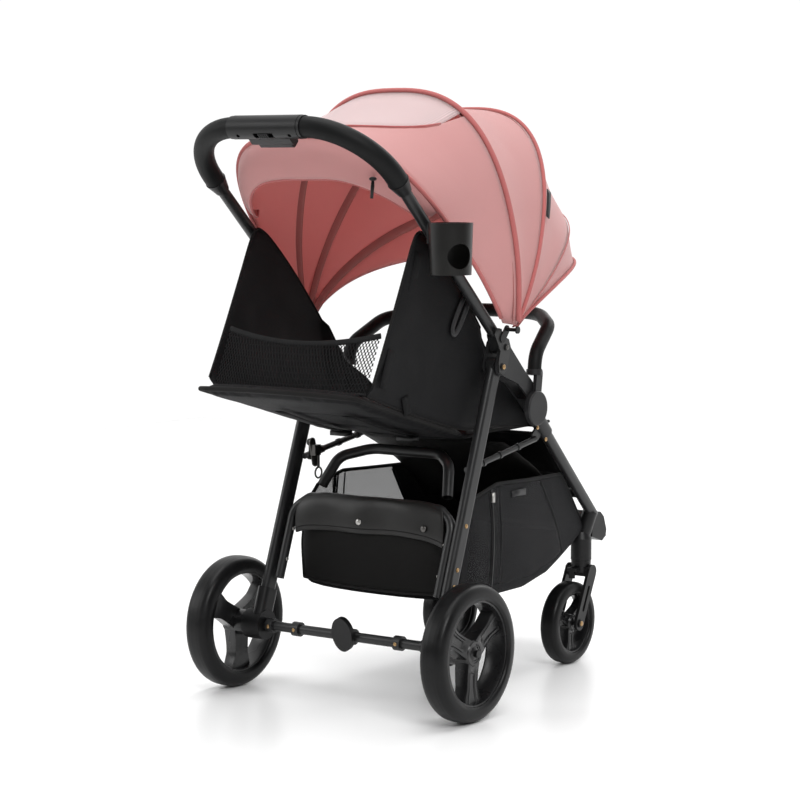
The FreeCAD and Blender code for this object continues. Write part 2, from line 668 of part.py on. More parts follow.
def wing():
    """Fabric side between the seat back and the handle tube."""
    return side_plate([(-112, 462), (150, 531), (112, 610), (24, 770), (-50, 680), (-105, 618)], 150.5, 153.0)


def mesh_panel():
    """Rear net between the wings."""
    low, high = (150, 532), (113, 609)
    corners = [Vector(-149.5, *low), Vector(149.5, *low), Vector(146, *high), Vector(0, high[0] + 6, high[1] - 14),
               Vector(-146, *high)]
    flat = [Vector(c.x, low[0] + (c.z - low[1]) * (high[0] - low[0]) / (high[1] - low[1]), c.z) for c in corners]
    return prism(flat, Vector(0, 1.5, 0.7))


def shoulder_straps():
    strap = [back_point(42, 20, 17), back_point(72, 20, 17), back_point(56, 225, 17), back_point(32, 225, 17)]
    return both(prism(strap, back_point(0, 0, 3) - back_point(0, 0, 0)))


# ---- hood ---------------------------------------------------------------------------------
def arch_points(bow, inset, start=0.0, offset=0.0, count=25):
    """Points of a rounded arch in the bow's plane, from +X over the top to -X.

    The arch is |x/w|^n + |r/R|^n = 1; start leaves out the legs below that radius.
    """
    angle, half, radius, n = BOWS[bow]
    angle, half, radius = math.radians(angle), half - inset, radius - inset
    normal = Vector(0, -math.sin(angle), math.cos(angle))
    first = math.asin(min(1.0, (start / radius)) ** (n / 2)) if start else 0.0
    points = []
    for k in range(count):
        t = first + (math.pi - 2 * first) * k / (count - 1)
        c, s = math.cos(t), max(math.sin(t), 0.0)
        reach = radius * s ** (2 / n)
        pull = EYE_PULL[bow] * (1 - max(0.0, min(reach, NARROW_BELOW) - EYE_REACH) / (NARROW_BELOW - EYE_REACH)) ** 2
        x = math.copysign(half * abs(c) ** (2 / n) - pull, c)
        points.append(polar(HOOD, angle, reach) + X * x + normal * offset)
    return points


def arch_band(bow, thickness, inset, start, offset):
    """Closed outline between an outer and an inner arch."""
    outer = Part.BSplineCurve()
    outer.interpolate(arch_points(bow, inset, start, offset))
    inner = Part.BSplineCurve()
    inner.interpolate(arch_points(bow, inset + thickness, start, offset)[::-1])
    a, b = outer.toShape(), inner.toShape()
    joins = [Part.LineSegment(a.Vertexes[-1].Point, b.Vertexes[0].Point).toShape(),
             Part.LineSegment(b.Vertexes[-1].Point, a.Vertexes[0].Point).toShape()]
    return Part.Wire([a, joins[0], b, joins[1]])


def bow(name):
    angle, half, radius, n = BOWS[name]
    tilt = math.radians(angle)
    normal = Vector(0, -math.sin(tilt), math.cos(tilt))
    strip = Part.Face(arch_band(name, BOW_T, 0, 12.0, -BOW_W / 2)).extrude(normal * BOW_W)
    eyes = []
    half -= EYE_PULL[name]
    for s in (1, -1):
        x0 = half - BOW_T if s > 0 else -half
        eye = rod_x(x0, x0 + BOW_T, HOOD.y, HOOD.z, 8.0)
        foot = capsule(HOOD, polar(HOOD, tilt, 16), BOW_W / 2, x0, x0 + BOW_T)
        eyes += [eye, foot]
    ring = strip.fuse(eyes).removeSplitter()
    return ring.cut(rod_x(-300, 300, HOOD.y, HOOD.z, 3.2))


def hood_panel(first, second, gap=5.2):
    """Skin between two bows, as a ruled shell."""
    start = 60.0
    a = arch_band(first, 1.6, 0.4, start, gap)
    b = arch_band(second, 1.6, 0.4, start, -gap)
    return Part.makeLoft([a, b], True, True)


def hood_mount():
    """Arm and pivot pin outside the hinge plate."""
    arm = capsule(Vector(0, -156, 594), HOOD, 7.0, CHEEK_OUT + 2.5, CHEEK_OUT + 4.6)
    pin = rod_x(CHEEK_OUT + 3, 218.5, HOOD.y, HOOD.z, 3.0)
    head = rod_x(216.8, 219.5, HOOD.y, HOOD.z, 6.0)
    return arm.fuse([pin, head]).removeSplitter()


# ---- bumper bar and calf rest -------------------------------------------------------------
BUMPER_R = 11.5
BUMPER_BENDS = (42, 60, 90, 160, 90, 60, 42)


def bumper_points():
    right = [Vector(191, -262, 536), Vector(190, -266, 562), Vector(171, -338, 604), Vector(104, -415, 618)]
    return right + [Vector(0, -432, 620)] + [Vector(-p.x, p.y, p.z) for p in reversed(right)]


def bumper_path():
    return bent_path(bumper_points(), BUMPER_BENDS)


def bumper_bar():
    """Foam-covered bar in front of the child."""
    return sweep(bumper_path(), BUMPER_R)


def bumper_disc():
    """Round hinge cover with the flat arm and the ring that hold the bar's end."""
    disc = rod_x(SIDE_X + 15.5, SIDE_X + 25, DISC.y, DISC.z, DISC_R)
    rim_edge = [e for e in disc.Edges if e.BoundBox.XMin > SIDE_X + 24 and e.BoundBox.YLength > 50]
    disc = disc.makeFillet(3, rim_edge)
    end, after = bumper_points()[:2]
    along = (after - end).normalize()
    arm = capsule(DISC, Vector(0, end.y, end.z - 6), 9.0, SIDE_X + 15.5, SIDE_X + 22)
    ring = rod(end - along * 9, end, BUMPER_R + 2)
    ring = ring.cut(rod(end - along * 12, end - along * 4, BUMPER_R - 3))
    return disc.fuse([arm, ring]).cut(sweep(bumper_path(), BUMPER_R)).removeSplitter()


def calf_rest():
    """Padded board hanging from the seat's front edge."""
    along = Vector(0, math.cos(CALF_ANGLE), math.sin(CALF_ANGLE))
    up = Vector(0, along.z, -along.y)
    plan = [(-112, 6), (112, 6), (104, 165), (-104, 165)]
    return prism([CALF + along * d + X * x - up * 9 for x, d in plan], up * 18)


# ---- write every node ---------------------------------------------------------------------
def main():
    for name, s in SIDES:
        save(f"front_leg_{name}", side(front_leg(), s))
        save(f"leg_sleeve_{name}", side(leg_sleeve(), s))
        save(f"handle_tube_{name}", side(handle_tube(), s))
        save(f"rear_leg_{name}", side(rear_leg(), s))
        save(f"brake_pin_{name}", side(brake_pin(), s))
        rear = Vector(REAR_TRACK, 0, REAR_R)
        save(f"rear_tyre_{name}", side(tyre(REAR_R, REAR_W, 84, rear), s))
        save(f"rear_rim_{name}", side(rim(REAR_R, REAR_W, 83.9, rear, 6.0 + PIN_GAP, 262.0, BRAKE_PIN_RISE), s))
        front = Vector(CASTER_X, FRONT_AXLE_Y, FRONT_R)
        save(f"front_tyre_{name}", side(tyre(FRONT_R, FRONT_W, 52, front), s))
        save(f"front_rim_{name}", side(rim(FRONT_R, FRONT_W, 51.9, front, 4.0 + PIN_GAP), s))
        save(f"caster_fork_{name}", side(caster_fork(), s))
        save(f"swivel_lock_{name}", side(swivel_lock(), s))
    pins = [p for pin in hinge_pins() for p in both(pin)]
    save("hinge_hardware", *both(hinge_plate()), *pins)
    save("side_rails", side_rail(tab=True), side(side_rail(), -1))
    save("footboard", footboard())
    save("caster_housings", *both(caster_housing()))
    save("cross_tubes", crossbar(), brace_tube())
    save("seat_pad", *seat_pad())
    save("basket", basket())
    save("basket_flap", basket_flap())
    save("seat_harness", *harness())
    save("buckle", *buckle())
    save("hood_mounts", *both(hood_mount()))
    save("hood_bow_rear", bow("rear"))
    save("hood_panel_rear", hood_panel("rear", "top"))
    save("handle_grips", *both(grip()))
    save("grip_collars", *collars())
    save("console", console())
    save("fold_trigger", trigger())
    save("safety_slider", slider())
    save("cup_clamp", cup_clamp())
    save("cup_holder", cup_holder())
    save("rear_crossbar", rear_crossbar())
    save("hub_housings", *both(hub_housing()))
    save("storage_latch", storage_latch())
    save("brake_bar", *brake_bar())
    save("brake_pedal", brake_pedal())
    save("backrest", backrest())
    save("seat_wings", *both(wing()))
    save("mesh_panel", mesh_panel())
    save("shoulder_straps", *shoulder_straps())
    save("hood_bow_top", bow("top"))
    save("hood_panel_top", hood_panel("top", "middle"))
    save("hood_bow_middle", bow("middle"))
    save("hood_panel_front", hood_panel("middle", "front"))
    save("hood_bow_front", bow("front"))
    save("hood_visor", hood_panel("front", "visor"))
    save("bumper_bar", bumper_bar())
    save("bumper_discs", *both(bumper_disc()))
    save("calf_rest", calf_rest())


main()
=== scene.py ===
import math

import bpy
from mathutils import Matrix, Vector, noise


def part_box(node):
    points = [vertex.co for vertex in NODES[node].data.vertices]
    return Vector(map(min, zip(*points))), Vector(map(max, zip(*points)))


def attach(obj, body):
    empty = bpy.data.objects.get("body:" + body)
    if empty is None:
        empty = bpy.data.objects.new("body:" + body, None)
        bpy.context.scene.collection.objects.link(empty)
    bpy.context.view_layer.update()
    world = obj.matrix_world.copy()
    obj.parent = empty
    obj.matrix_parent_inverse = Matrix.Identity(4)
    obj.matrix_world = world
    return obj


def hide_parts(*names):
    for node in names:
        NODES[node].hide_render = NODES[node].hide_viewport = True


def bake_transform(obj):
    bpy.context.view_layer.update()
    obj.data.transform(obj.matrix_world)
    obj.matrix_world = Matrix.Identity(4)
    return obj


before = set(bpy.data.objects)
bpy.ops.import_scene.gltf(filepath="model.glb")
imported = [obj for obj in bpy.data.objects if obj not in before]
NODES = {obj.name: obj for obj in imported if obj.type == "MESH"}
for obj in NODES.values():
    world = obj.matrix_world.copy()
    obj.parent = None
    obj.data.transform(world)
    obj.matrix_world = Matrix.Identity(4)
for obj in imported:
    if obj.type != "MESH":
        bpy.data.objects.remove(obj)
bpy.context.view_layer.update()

# The looks of a folding pushchair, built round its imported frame. Metres, +Z up, front towards -Y.
SCENE = bpy.context.scene
MM = 0.001
SIDES = (("left", 1), ("right", -1))


def middle(node):
    low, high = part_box(node)
    return (low + high) / 2


AXLE_Y = middle("rear_tyre_left").y


def at(x, y, z):
    """A point in the frame from millimetres: y from the rear axle, z from the ground."""
    return Vector((x * MM, y * MM + AXLE_Y, z * MM))


def lerp(a, b, t):
    return a + (b - a) * t


def smooth_step(t):
    t = max(0.0, min(1.0, t))
    return t * t * (3 - 2 * t)


# ---- materials ------------------------------------------------------------------------------
class Nodes:
    """A small builder for one procedural material."""

    def __init__(self, name, colour, roughness, metallic=0.0, **fixed):
        self.material = bpy.data.materials.new(name)
        self.material.use_nodes = True
        self.tree = self.material.node_tree
        self.shader = self.tree.nodes["Principled BSDF"]
        self.shader.inputs["Base Color"].default_value = (*colour, 1)
        self.shader.inputs["Roughness"].default_value = roughness
        self.shader.inputs["Metallic"].default_value = metallic
        for socket, value in fixed.items():
            self.shader.inputs[socket.replace("_", " ")].default_value = value
        self.colour = colour
        self.place = self.add("ShaderNodeTexCoord").outputs["Object"]

    def add(self, kind, **settings):
        node = self.tree.nodes.new(kind)
        for key, value in settings.items():
            setattr(node, key, value)
        return node

    def link(self, a, b):
        self.tree.links.new(a, b)

    def math(self, operation, a, b=0.0):
        node = self.add("ShaderNodeMath", operation=operation)
        for socket, value in zip(node.inputs, (a, b)):
            if isinstance(value, (int, float)):
                socket.default_value = value
            else:
                self.link(value, socket)
        return node.outputs[0]

    def noise(self, scale, detail=4.0, stretch=None):
        node = self.add("ShaderNodeTexNoise")
        node.inputs["Scale"].default_value = scale
        node.inputs["Detail"].default_value = detail
        where = self.place
        if stretch:
            mapping = self.add("ShaderNodeMapping")
            mapping.inputs["Scale"].default_value = stretch
            self.link(self.place, mapping.inputs["Vector"])
            where = mapping.outputs[0]
        self.link(where, node.inputs["Vector"])
        return node.outputs["Fac"]

    def bands(self, direction, pitch):
        """Rounded ridges across a direction, pitch apart in metres."""
        dot = self.add("ShaderNodeVectorMath", operation="DOT_PRODUCT")
        self.link(self.place, dot.inputs[0])
        dot.inputs[1].default_value = direction
        turns = self.math("MULTIPLY", dot.outputs["Value"], 2 * math.pi / pitch)
        return self.math("SINE", turns)

    def ramp(self, value, low, high, a, b):
        node = self.add("ShaderNodeMapRange")
        node.inputs["From Min"].default_value = low
        node.inputs["From Max"].default_value = high
        node.inputs["To Min"].default_value = a
        node.inputs["To Max"].default_value = b
        self.link(value, node.inputs["Value"])
        return node.outputs["Result"]

    def tint(self, value, dark, light):
        """Base colour from dark to light as value goes 0 to 1."""
        mix = self.add("ShaderNodeMix", data_type="RGBA")
        mix.inputs["A"].default_value = (*dark, 1)
        mix.inputs["B"].default_value = (*light, 1)
        self.link(value, mix.inputs["Factor"])
        self.link(mix.outputs["Result"], self.shader.inputs["Base Color"])

    def shades(self, value, spread):
        """Base colour a little darker and lighter than the material's own."""
        dark = [c * (1 - spread) for c in self.colour]
        light = [min(1.0, c * (1 + spread)) for c in self.colour]
        self.tint(value, dark, light)

    def rough(self, value, low, high):
        self.link(self.ramp(value, 0.3, 0.7, low, high), self.shader.inputs["Roughness"])

    def bump(self, value, strength, depth, below=None):
        node = self.add("ShaderNodeBump")
        node.inputs["Strength"].default_value = strength
        node.inputs["Distance"].default_value = depth
        self.link(value, node.inputs["Height"])
        if below is not None:
            self.link(below, node.inputs["Normal"])
        self.link(node.outputs["Normal"], self.shader.inputs["Normal"])
        return node.outputs["Normal"]


def woven(name, colour, pitch, spread=0.08, melange=0.0, roughness=0.85, sheen=0.3, crease=0.0006):
    """Plain weave from two crossed sets of ridges, with slow creases and melange."""
    m = Nodes(name, colour, roughness, Sheen_Weight=sheen, Sheen_Roughness=0.5, Specular_IOR_Level=0.12)
    across = m.bands((0.62, 0.55, 0.56), pitch)
    along = m.bands((-0.67, 0.62, 0.40), pitch)
    weave = m.math("MULTIPLY", across, along)
    cloudy = m.noise(9.0, 3.0)
    value = m.ramp(cloudy, 0.3, 0.7, 0.35, 0.65)
    if melange:
        fleck = m.ramp(m.noise(900.0, 2.0, (1, 1, 0.35)), 0.42, 0.62, 0, melange)
        value = m.math("ADD", value, fleck)
    m.shades(value, spread + melange)
    slow = m.bump(m.noise(26.0, 2.0), 0.35, crease)
    m.bump(weave, 0.35, pitch * 0.16, slow)
    m.rough(cloudy, roughness - 0.06, roughness + 0.05)
    return m.material


def net(name, colour, pitch, opening, clear=(1, 1, 1), roughness=0.7):
    """Open net: round holes between crossed threads let the light through."""
    m = Nodes(name, colour, roughness, Specular_IOR_Level=0.12)
    a = m.bands((0.71, 0.3, 0.64), pitch)
    b = m.bands((-0.71, 0.3, 0.64), pitch)
    cross = m.math("MULTIPLY", a, b)
    hole = m.math("GREATER_THAN", m.math("ABSOLUTE", cross), opening)
    m.shades(m.noise(40.0, 2.0), 0.1)
    m.bump(cross, 0.4, pitch * 0.2)
    output = m.tree.nodes["Material Output"]
    gap = m.add("ShaderNodeBsdfTransparent")
    gap.inputs["Color"].default_value = (*clear, 1)
    mix = m.add("ShaderNodeMixShader")
    m.link(hole, mix.inputs["Fac"])
    m.link(m.shader.outputs[0], mix.inputs[1])
    m.link(gap.outputs[0], mix.inputs[2])
    m.link(mix.outputs[0], output.inputs["Surface"])
    return m.material


def window_net(name, colour):
    """Fine pale net: threads too close to see, half of the light comes through."""
    m = Nodes(name, colour, 0.6, Sheen_Weight=0.3)
    grain = m.math("MULTIPLY", m.bands((1.0, 0.3, 0.0), 0.0016), m.bands((0.0, 0.6, 0.8), 0.0016))
    m.shades(m.noise(30.0, 2.0), 0.03)
    m.bump(grain, 0.3, 0.0003)
    output = m.tree.nodes["Material Output"]
    gap = m.add("ShaderNodeBsdfTransparent")
    gap.inputs["Color"].default_value = (1, 0.96, 0.96, 1)
    glow = m.add("ShaderNodeBsdfTranslucent")
    glow.inputs["Color"].default_value = (*colour, 1)
    lit = m.add("ShaderNodeMixShader")
    lit.inputs["Fac"].default_value = 0.45
    m.link(m.shader.outputs[0], lit.inputs[1])
    m.link(glow.outputs[0], lit.inputs[2])
    mix = m.add("ShaderNodeMixShader")
    m.link(m.ramp(grain, -0.4, 0.6, 0.22, 0.5), mix.inputs["Fac"])
    m.link(lit.outputs[0], mix.inputs[1])
    m.link(gap.outputs[0], mix.inputs[2])
    m.link(mix.outputs[0], output.inputs["Surface"])
    return m.material


def thin_woven(name, colour, share):
    """Woven cloth that glows a little where light stands behind it."""
    material = woven(name, colour, 0.0012, 0.05, roughness=0.82, sheen=0.35, crease=0.0012)
    tree = material.node_tree
    output, shader = tree.nodes["Material Output"], tree.nodes["Principled BSDF"]
    glow = tree.nodes.new("ShaderNodeBsdfTranslucent")
    glow.inputs["Color"].default_value = (*colour, 1)
    mix = tree.nodes.new("ShaderNodeMixShader")
    mix.inputs["Fac"].default_value = share
    tree.links.new(shader.outputs[0], mix.inputs[1])
    tree.links.new(glow.outputs[0], mix.inputs[2])
    tree.links.new(mix.outputs[0], output.inputs["Surface"])
    return material


def open_woven(name, colour, share):
    """Loose woven cloth: share of the light goes straight through each layer."""
    material = woven(name, colour, 0.0013, 0.12, 0.5, 0.85, 0.06)
    tree = material.node_tree
    output, shader = tree.nodes["Material Output"], tree.nodes["Principled BSDF"]
    gap = tree.nodes.new("ShaderNodeBsdfTransparent")
    mix = tree.nodes.new("ShaderNodeMixShader")
    mix.inputs["Fac"].default_value = share
    tree.links.new(shader.outputs[0], mix.inputs[1])
    tree.links.new(gap.outputs[0], mix.inputs[2])
    tree.links.new(mix.outputs[0], output.inputs["Surface"])
    return material


def plastic(name, colour, roughness, grain=0.00015, scale=900.0, coat=0.0):
    """Moulded plastic with a fine spark-eroded grain and faint handling marks."""
    m = Nodes(name, colour, roughness, Coat_Weight=coat, Coat_Roughness=0.3, Specular_IOR_Level=0.32)
    broad = m.noise(14.0, 4.0)
    m.shades(m.ramp(broad, 0.3, 0.7, 0.3, 0.7), 0.14)
    m.rough(broad, roughness - 0.06, roughness + 0.07)
    m.bump(m.noise(scale, 2.0), 0.25, grain)
    return m.material


def powder_coat(name, colour, roughness):
    m = Nodes(name, colour, roughness, Specular_IOR_Level=0.42)
    broad = m.noise(20.0, 3.0)
    m.shades(m.ramp(broad, 0.3, 0.7, 0.3, 0.7), 0.12)
    m.rough(broad, roughness - 0.05, roughness + 0.06)
    m.bump(m.noise(1400.0, 3.0), 0.3, 0.00012)
    return m.material


def metal(name, colour, roughness):
    m = Nodes(name, colour, roughness, 1.0)
    brush = m.noise(240.0, 4.0, (1, 1, 7))
    m.shades(m.ramp(brush, 0.3, 0.7, 0.3, 0.7), 0.15)
    m.rough(brush, roughness - 0.08, roughness + 0.1)
    m.bump(brush, 0.2, 0.0001)
    return m.material


def foam_skin(name, colour):
    m = Nodes(name, colour, 0.5, Specular_IOR_Level=0.14)
    m.shades(m.ramp(m.noise(12.0, 4.0), 0.3, 0.7, 0.2, 0.8), 0.15)
    low = m.bump(m.noise(60.0, 3.0), 0.2, 0.0006)
    m.bump(m.noise(1100.0, 3.0), 0.5, 0.00035, low)
    return m.material


def rubber(name, colour):
    m = Nodes(name, colour, 0.36, Specular_IOR_Level=0.2)
    dust = m.noise(34.0, 5.0)
    m.tint(m.ramp(dust, 0.45, 0.75, 0, 1), colour, [c * 1.5 + 0.001 for c in colour])
    m.rough(dust, 0.30, 0.44)
    m.bump(m.noise(700.0, 3.0), 0.3, 0.0002)
    return m.material


def hide(name, colour):
    """Leatherette: small cells with soft creases."""
    m = Nodes(name, colour, 0.42, Specular_IOR_Level=0.36)
    cells = m.add("ShaderNodeTexVoronoi", feature="DISTANCE_TO_EDGE")
    cells.inputs["Scale"].default_value = 520.0
    m.link(m.place, cells.inputs["Vector"])
    slow = m.bump(m.noise(22.0, 3.0), 0.5, 0.0012)
    m.bump(cells.outputs["Distance"], 0.3, 0.0004, slow)
    m.shades(m.noise(18.0, 3.0), 0.2)
    m.rough(m.noise(30.0, 3.0), 0.36, 0.5)
    return m.material


def ribbed(name, colour, pitch=0.0022):
    m = Nodes(name, colour, 0.7, Specular_IOR_Level=0.15)
    m.bump(m.bands((0.55, 0.62, 0.56), pitch), 0.6, 0.0005)
    m.shades(m.noise(50.0, 2.0), 0.15)
    return m.material


HOOD_PINK = (0.640, 0.330, 0.322)
MATERIAL = {
    "hood": thin_woven("hood_cloth", HOOD_PINK, 0.25),
    "hood_inner": thin_woven("hood_lining", (0.86, 0.36, 0.34), 0.46),
    "piping": woven("hood_piping", (0.45, 0.135, 0.13), 0.0012, 0.06, sheen=0.15),
    "sleeve": woven("hood_bow_sleeve", (0.36, 0.125, 0.115), 0.0012, 0.06, sheen=0.2),
    "window": window_net("hood_window", (0.86, 0.74, 0.74)),
    "seat": woven("seat_cloth", (0.0072, 0.0072, 0.0078), 0.0011, 0.10, 0.05, 0.66, 0.0),
    "seat_edge": woven("seat_piping", (0.011, 0.0105, 0.0105), 0.0012, 0.1, 0.0, 0.7, 0.0),
    "basket": woven("basket_cloth", (0.0120, 0.0120, 0.0128), 0.0013, 0.12, 0.5, 0.8, 0.0),
    "side_net": open_woven("basket_side_cloth", (0.0175, 0.0175, 0.0185), 0.42),
    "pouch": woven("pouch_cloth", (0.0065, 0.0062, 0.0060), 0.0011, 0.1, 0.1, 0.66, 0.0),
    "binding": ribbed("binding_tape", (0.013, 0.013, 0.0135)),
    "webbing": ribbed("strap_webbing", (0.006, 0.006, 0.0065)),
    "net": net("black_net", (0.007, 0.007, 0.0075), 0.0084, 0.36),
    "front_net": net("grey_net", (0.085, 0.085, 0.09), 0.0048, 0.50),
    "leatherette": hide("leatherette", (0.0095, 0.009, 0.0085)),
    "foam": foam_skin("grip_foam", (0.0058, 0.0060, 0.0062)),
    "trim": plastic("black_plastic", (0.0062, 0.0062, 0.0066), 0.4),
    "grey": plastic("anthracite_plastic", (0.016, 0.016, 0.0168), 0.46),
    "cup": plastic("cup_plastic", (0.0100, 0.0096, 0.0090), 0.34),
    "rim": plastic("rim_plastic", (0.0085, 0.0085, 0.009), 0.26, 0.00006, coat=0.2),
    "frame": powder_coat("frame_coat", (0.0118, 0.0120, 0.0125), 0.36),
    "plate": powder_coat("plate_coat", (0.0130, 0.0128, 0.0128), 0.34),
    "tyre": rubber("tyre_rubber", (0.0050, 0.0050, 0.0053)),
    "brass": metal("brass", (0.42, 0.27, 0.13), 0.34),
    "steel": metal("steel", (0.46, 0.45, 0.43), 0.32),
    "dark_steel": metal("dark_steel", (0.12, 0.115, 0.11), 0.34),
}


# ---- mesh helpers ---------------------------------------------------------------------------
class Shape:
    """Vertices, faces and material numbers gathered for one piece."""

    def __init__(self, *materials):
        self.materials = materials
        self.vertices, self.faces, self.numbers = [], [], []

    def add(self, vertices, faces, material=None):
        base = len(self.vertices)
        self.vertices += [Vector(v) for v in vertices]
        self.faces += [[i + base for i in face] for face in faces]
        number = self.materials.index(material) if material else 0
        self.numbers += [number] * len(faces)
        return self

    def grid(self, rows, material=None, wrap=False, flip=False):
        """Quads through rows of points; wrap closes each row on itself."""
        across = len(rows[0])
        faces = []
        for i in range(len(rows) - 1):
            for j in range(across if wrap else across - 1):
                k = (j + 1) % across
                face = [i * across + j, i * across + k, (i + 1) * across + k, (i + 1) * across + j]
                faces.append(face[::-1] if flip else face)
        return self.add([p for row in rows for p in row], faces, material)

    def tube(self, points, radius, material=None, sides=10, closed=False, flat=1.0, up=None):
        """A tube along points; flat squeezes it along the direction up."""
        points = [Vector(p) for p in points]
        count = len(points)
        rows, guide = [], Vector(up) if up else None
        side = None
        for i, p in enumerate(points):
            before = points[(i - 1) % count] if closed or i else p
            after = points[(i + 1) % count] if closed or i < count - 1 else p
            along = (after - before).normalized()
            if guide is not None:
                side = along.cross(guide).normalized()
            elif side is None:
                side = along.orthogonal().normalized()
            else:
                side = (side - along * side.dot(along)).normalized()
            lift = side.cross(along)
            r = radius[i] if hasattr(radius, "__len__") else radius
            rows.append([
                p + side * (r * math.cos(a)) + lift * (r * flat * math.sin(a))
                for a in (2 * math.pi * k / sides for k in range(sides))
            ])
        if closed:
            rows.append(rows[0])
        base = len(self.vertices)
        self.grid(rows, material, wrap=True)
        if not closed:
            self.add([], [], material)
            number = self.materials.index(material) if material else 0
            last = base + (len(rows) - 1) * sides
            self.faces += [[base + k for k in range(sides)][::-1], [last + k for k in range(sides)]]
            self.numbers += [number] * 2
        return self

    def ball(self, centre, radius, material=None, squash=(1, 1, 1), rings=8, sides=14):
        rows = []
        for i in range(rings + 1):
            a = math.pi * i / rings
            rows.append([
                Vector(centre) + Vector((
                    radius * squash[0] * math.sin(a) * math.cos(b),
                    radius * squash[1] * math.sin(a) * math.sin(b),
                    radius * squash[2] * math.cos(a),
                ))
                for b in (2 * math.pi * k / sides for k in range(sides))
            ])
        return self.grid(rows, material, wrap=True)

    def rivet(self, centre, normal, radius, height, material=None, sides=18):
        """A domed rivet head standing on a face."""
        normal = Vector(normal).normalized()
        side = normal.orthogonal().normalized()
        other = normal.cross(side)
        profile = ((1.0, 0.0), (1.0, 0.35), (0.86, 0.68), (0.55, 0.92), (0.2, 1.0), (0.001, 1.0))
        rows = [
            [
                Vector(centre) + normal * (height * h) + (side * math.cos(a) + other * math.sin(a)) * (radius * r)
                for a in (2 * math.pi * k / sides for k in range(sides))
            ]
            for r, h in profile
        ]
        return self.grid(rows, material, wrap=True, flip=False)

    def block(self, corners, material=None):
        """A closed box from its eight corners: four below, then the four above them."""
        faces = [[3, 2, 1, 0], [4, 5, 6, 7], [0, 1, 5, 4], [1, 2, 6, 5], [2, 3, 7, 6], [3, 0, 4, 7]]
        return self.add(corners, faces, material)

    def revolved(self, profile, centre, material=None, sides=72):
        """A closed ring about an X axis from (radius, x) points."""
        rows = []
        for r, x in profile + profile[:1]:
            rows.append([
                Vector(centre) + Vector((x, r * math.cos(a), r * math.sin(a)))
                for a in (2 * math.pi * k / sides for k in range(sides))
            ])
        return self.grid(rows, material, wrap=True)

    def piece(self, name, smooth=True):
        mesh = bpy.data.meshes.new(name)
        mesh.from_pydata([tuple(v) for v in self.vertices], [], self.faces)
        for material in self.materials:
            mesh.materials.append(MATERIAL[material])
        mesh.polygons.foreach_set("material_index", self.numbers)
        mesh.validate()
        mesh.polygons.foreach_set("use_smooth", [smooth] * len(mesh.polygons))
        piece = bpy.data.objects.new(name, mesh)
        SCENE.collection.objects.link(piece)
        weld(piece)
        return piece


def weld(piece):
    modifier = piece.modifiers.new("weld", "WELD")
    modifier.merge_threshold = 0.00002
    bake(piece)


def bake(piece):
    """Apply every modifier, so that the final mesh is the one that rides."""
    graph = bpy.context.evaluated_depsgraph_get()
    mesh = bpy.data.meshes.new_from_object(piece.evaluated_get(graph))
    old = piece.data
    piece.modifiers.clear()
    piece.data = mesh
    bpy.data.meshes.remove(old)


def thicken(piece, thickness, offset=0.0, inner=0, levels=0, bevel=0.0):
    """Give a sheet its thickness, with the lining's material on the inner side."""
    solid = piece.modifiers.new("solid", "SOLIDIFY")
    solid.thickness = thickness
    solid.offset = offset
    solid.material_offset = inner
    solid.material_offset_rim = 0
    if bevel:
        round_off = piece.modifiers.new("bevel", "BEVEL")
        round_off.width = bevel
        round_off.segments = 2
    if levels:
        smoother = piece.modifiers.new("subdivide", "SUBSURF")
        smoother.levels = levels
        smoother.render_levels = levels
    bake(piece)
    return piece


def subdivide(piece, levels=1):
    smoother = piece.modifiers.new("subdivide", "SUBSURF")
    smoother.levels = levels
    smoother.render_levels = levels
    bake(piece)
    return piece


def flat_shade_edges(piece, angle=35.0):
    """Smooth shading with crisp edges above the angle."""
    mesh = piece.data
    mesh.set_sharp_from_angle(angle=math.radians(angle))
    return piece


def wrinkle(p, scale, size, seed=0.0):
    """A small repeatable offset along all axes for cloth that isn't quite even."""
    q = Vector(p) * scale + Vector((seed, seed * 1.7, seed * 0.6))
    return noise.noise_vector(q) * size


def place(piece, body, slot_name, *replaced):
    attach(piece, body)
    if replaced:
        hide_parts(*replaced)
    return piece


def line_length(points):
    return sum((b - a).length for a, b in zip(points, points[1:]))


def declare_sheet(piece, rows):
    """Measure the widest row and the longest column of the rows of points that a cloth was cut from; nothing is kept.
    """
    wide = max(line_length(row) for row in rows)
    long = max(line_length(column) for column in zip(*rows))


# ---- materials of the pieces that stay as they are ----------------------------------------------
KEPT = {
    "frame": ["front_leg_left", "front_leg_right", "handle_tube_left", "handle_tube_right", "rear_leg_left",
              "rear_leg_right", "rear_crossbar", "brake_bar", "side_rails", "cross_tubes"],
    "grey": ["leg_sleeve_left", "leg_sleeve_right", "bumper_discs"],
    "trim": ["footboard", "caster_housings", "caster_fork_left", "caster_fork_right", "swivel_lock_left",
             "swivel_lock_right", "hub_housings", "brake_pedal", "console", "fold_trigger", "safety_slider",
             "cup_clamp", "grip_collars", "hood_mounts", "buckle"],
    "foam": ["handle_grips", "bumper_bar"],
    "cup": ["cup_holder"],
    "plate": ["hinge_hardware"],
    "dark_steel": ["storage_latch", "brake_pin_left", "brake_pin_right"],
}


def dress_kept_nodes():
    for material, names in KEPT.items():
        for name in names:
            mesh = NODES[name].data
            if not mesh.materials:
                mesh.materials.append(None)
            for k in range(len(mesh.materials)):
                mesh.materials[k] = MATERIAL[material]


# ---- hood -----------------------------------------------------------------------------------
HOOD_PIVOT = at(0, -168, 608)
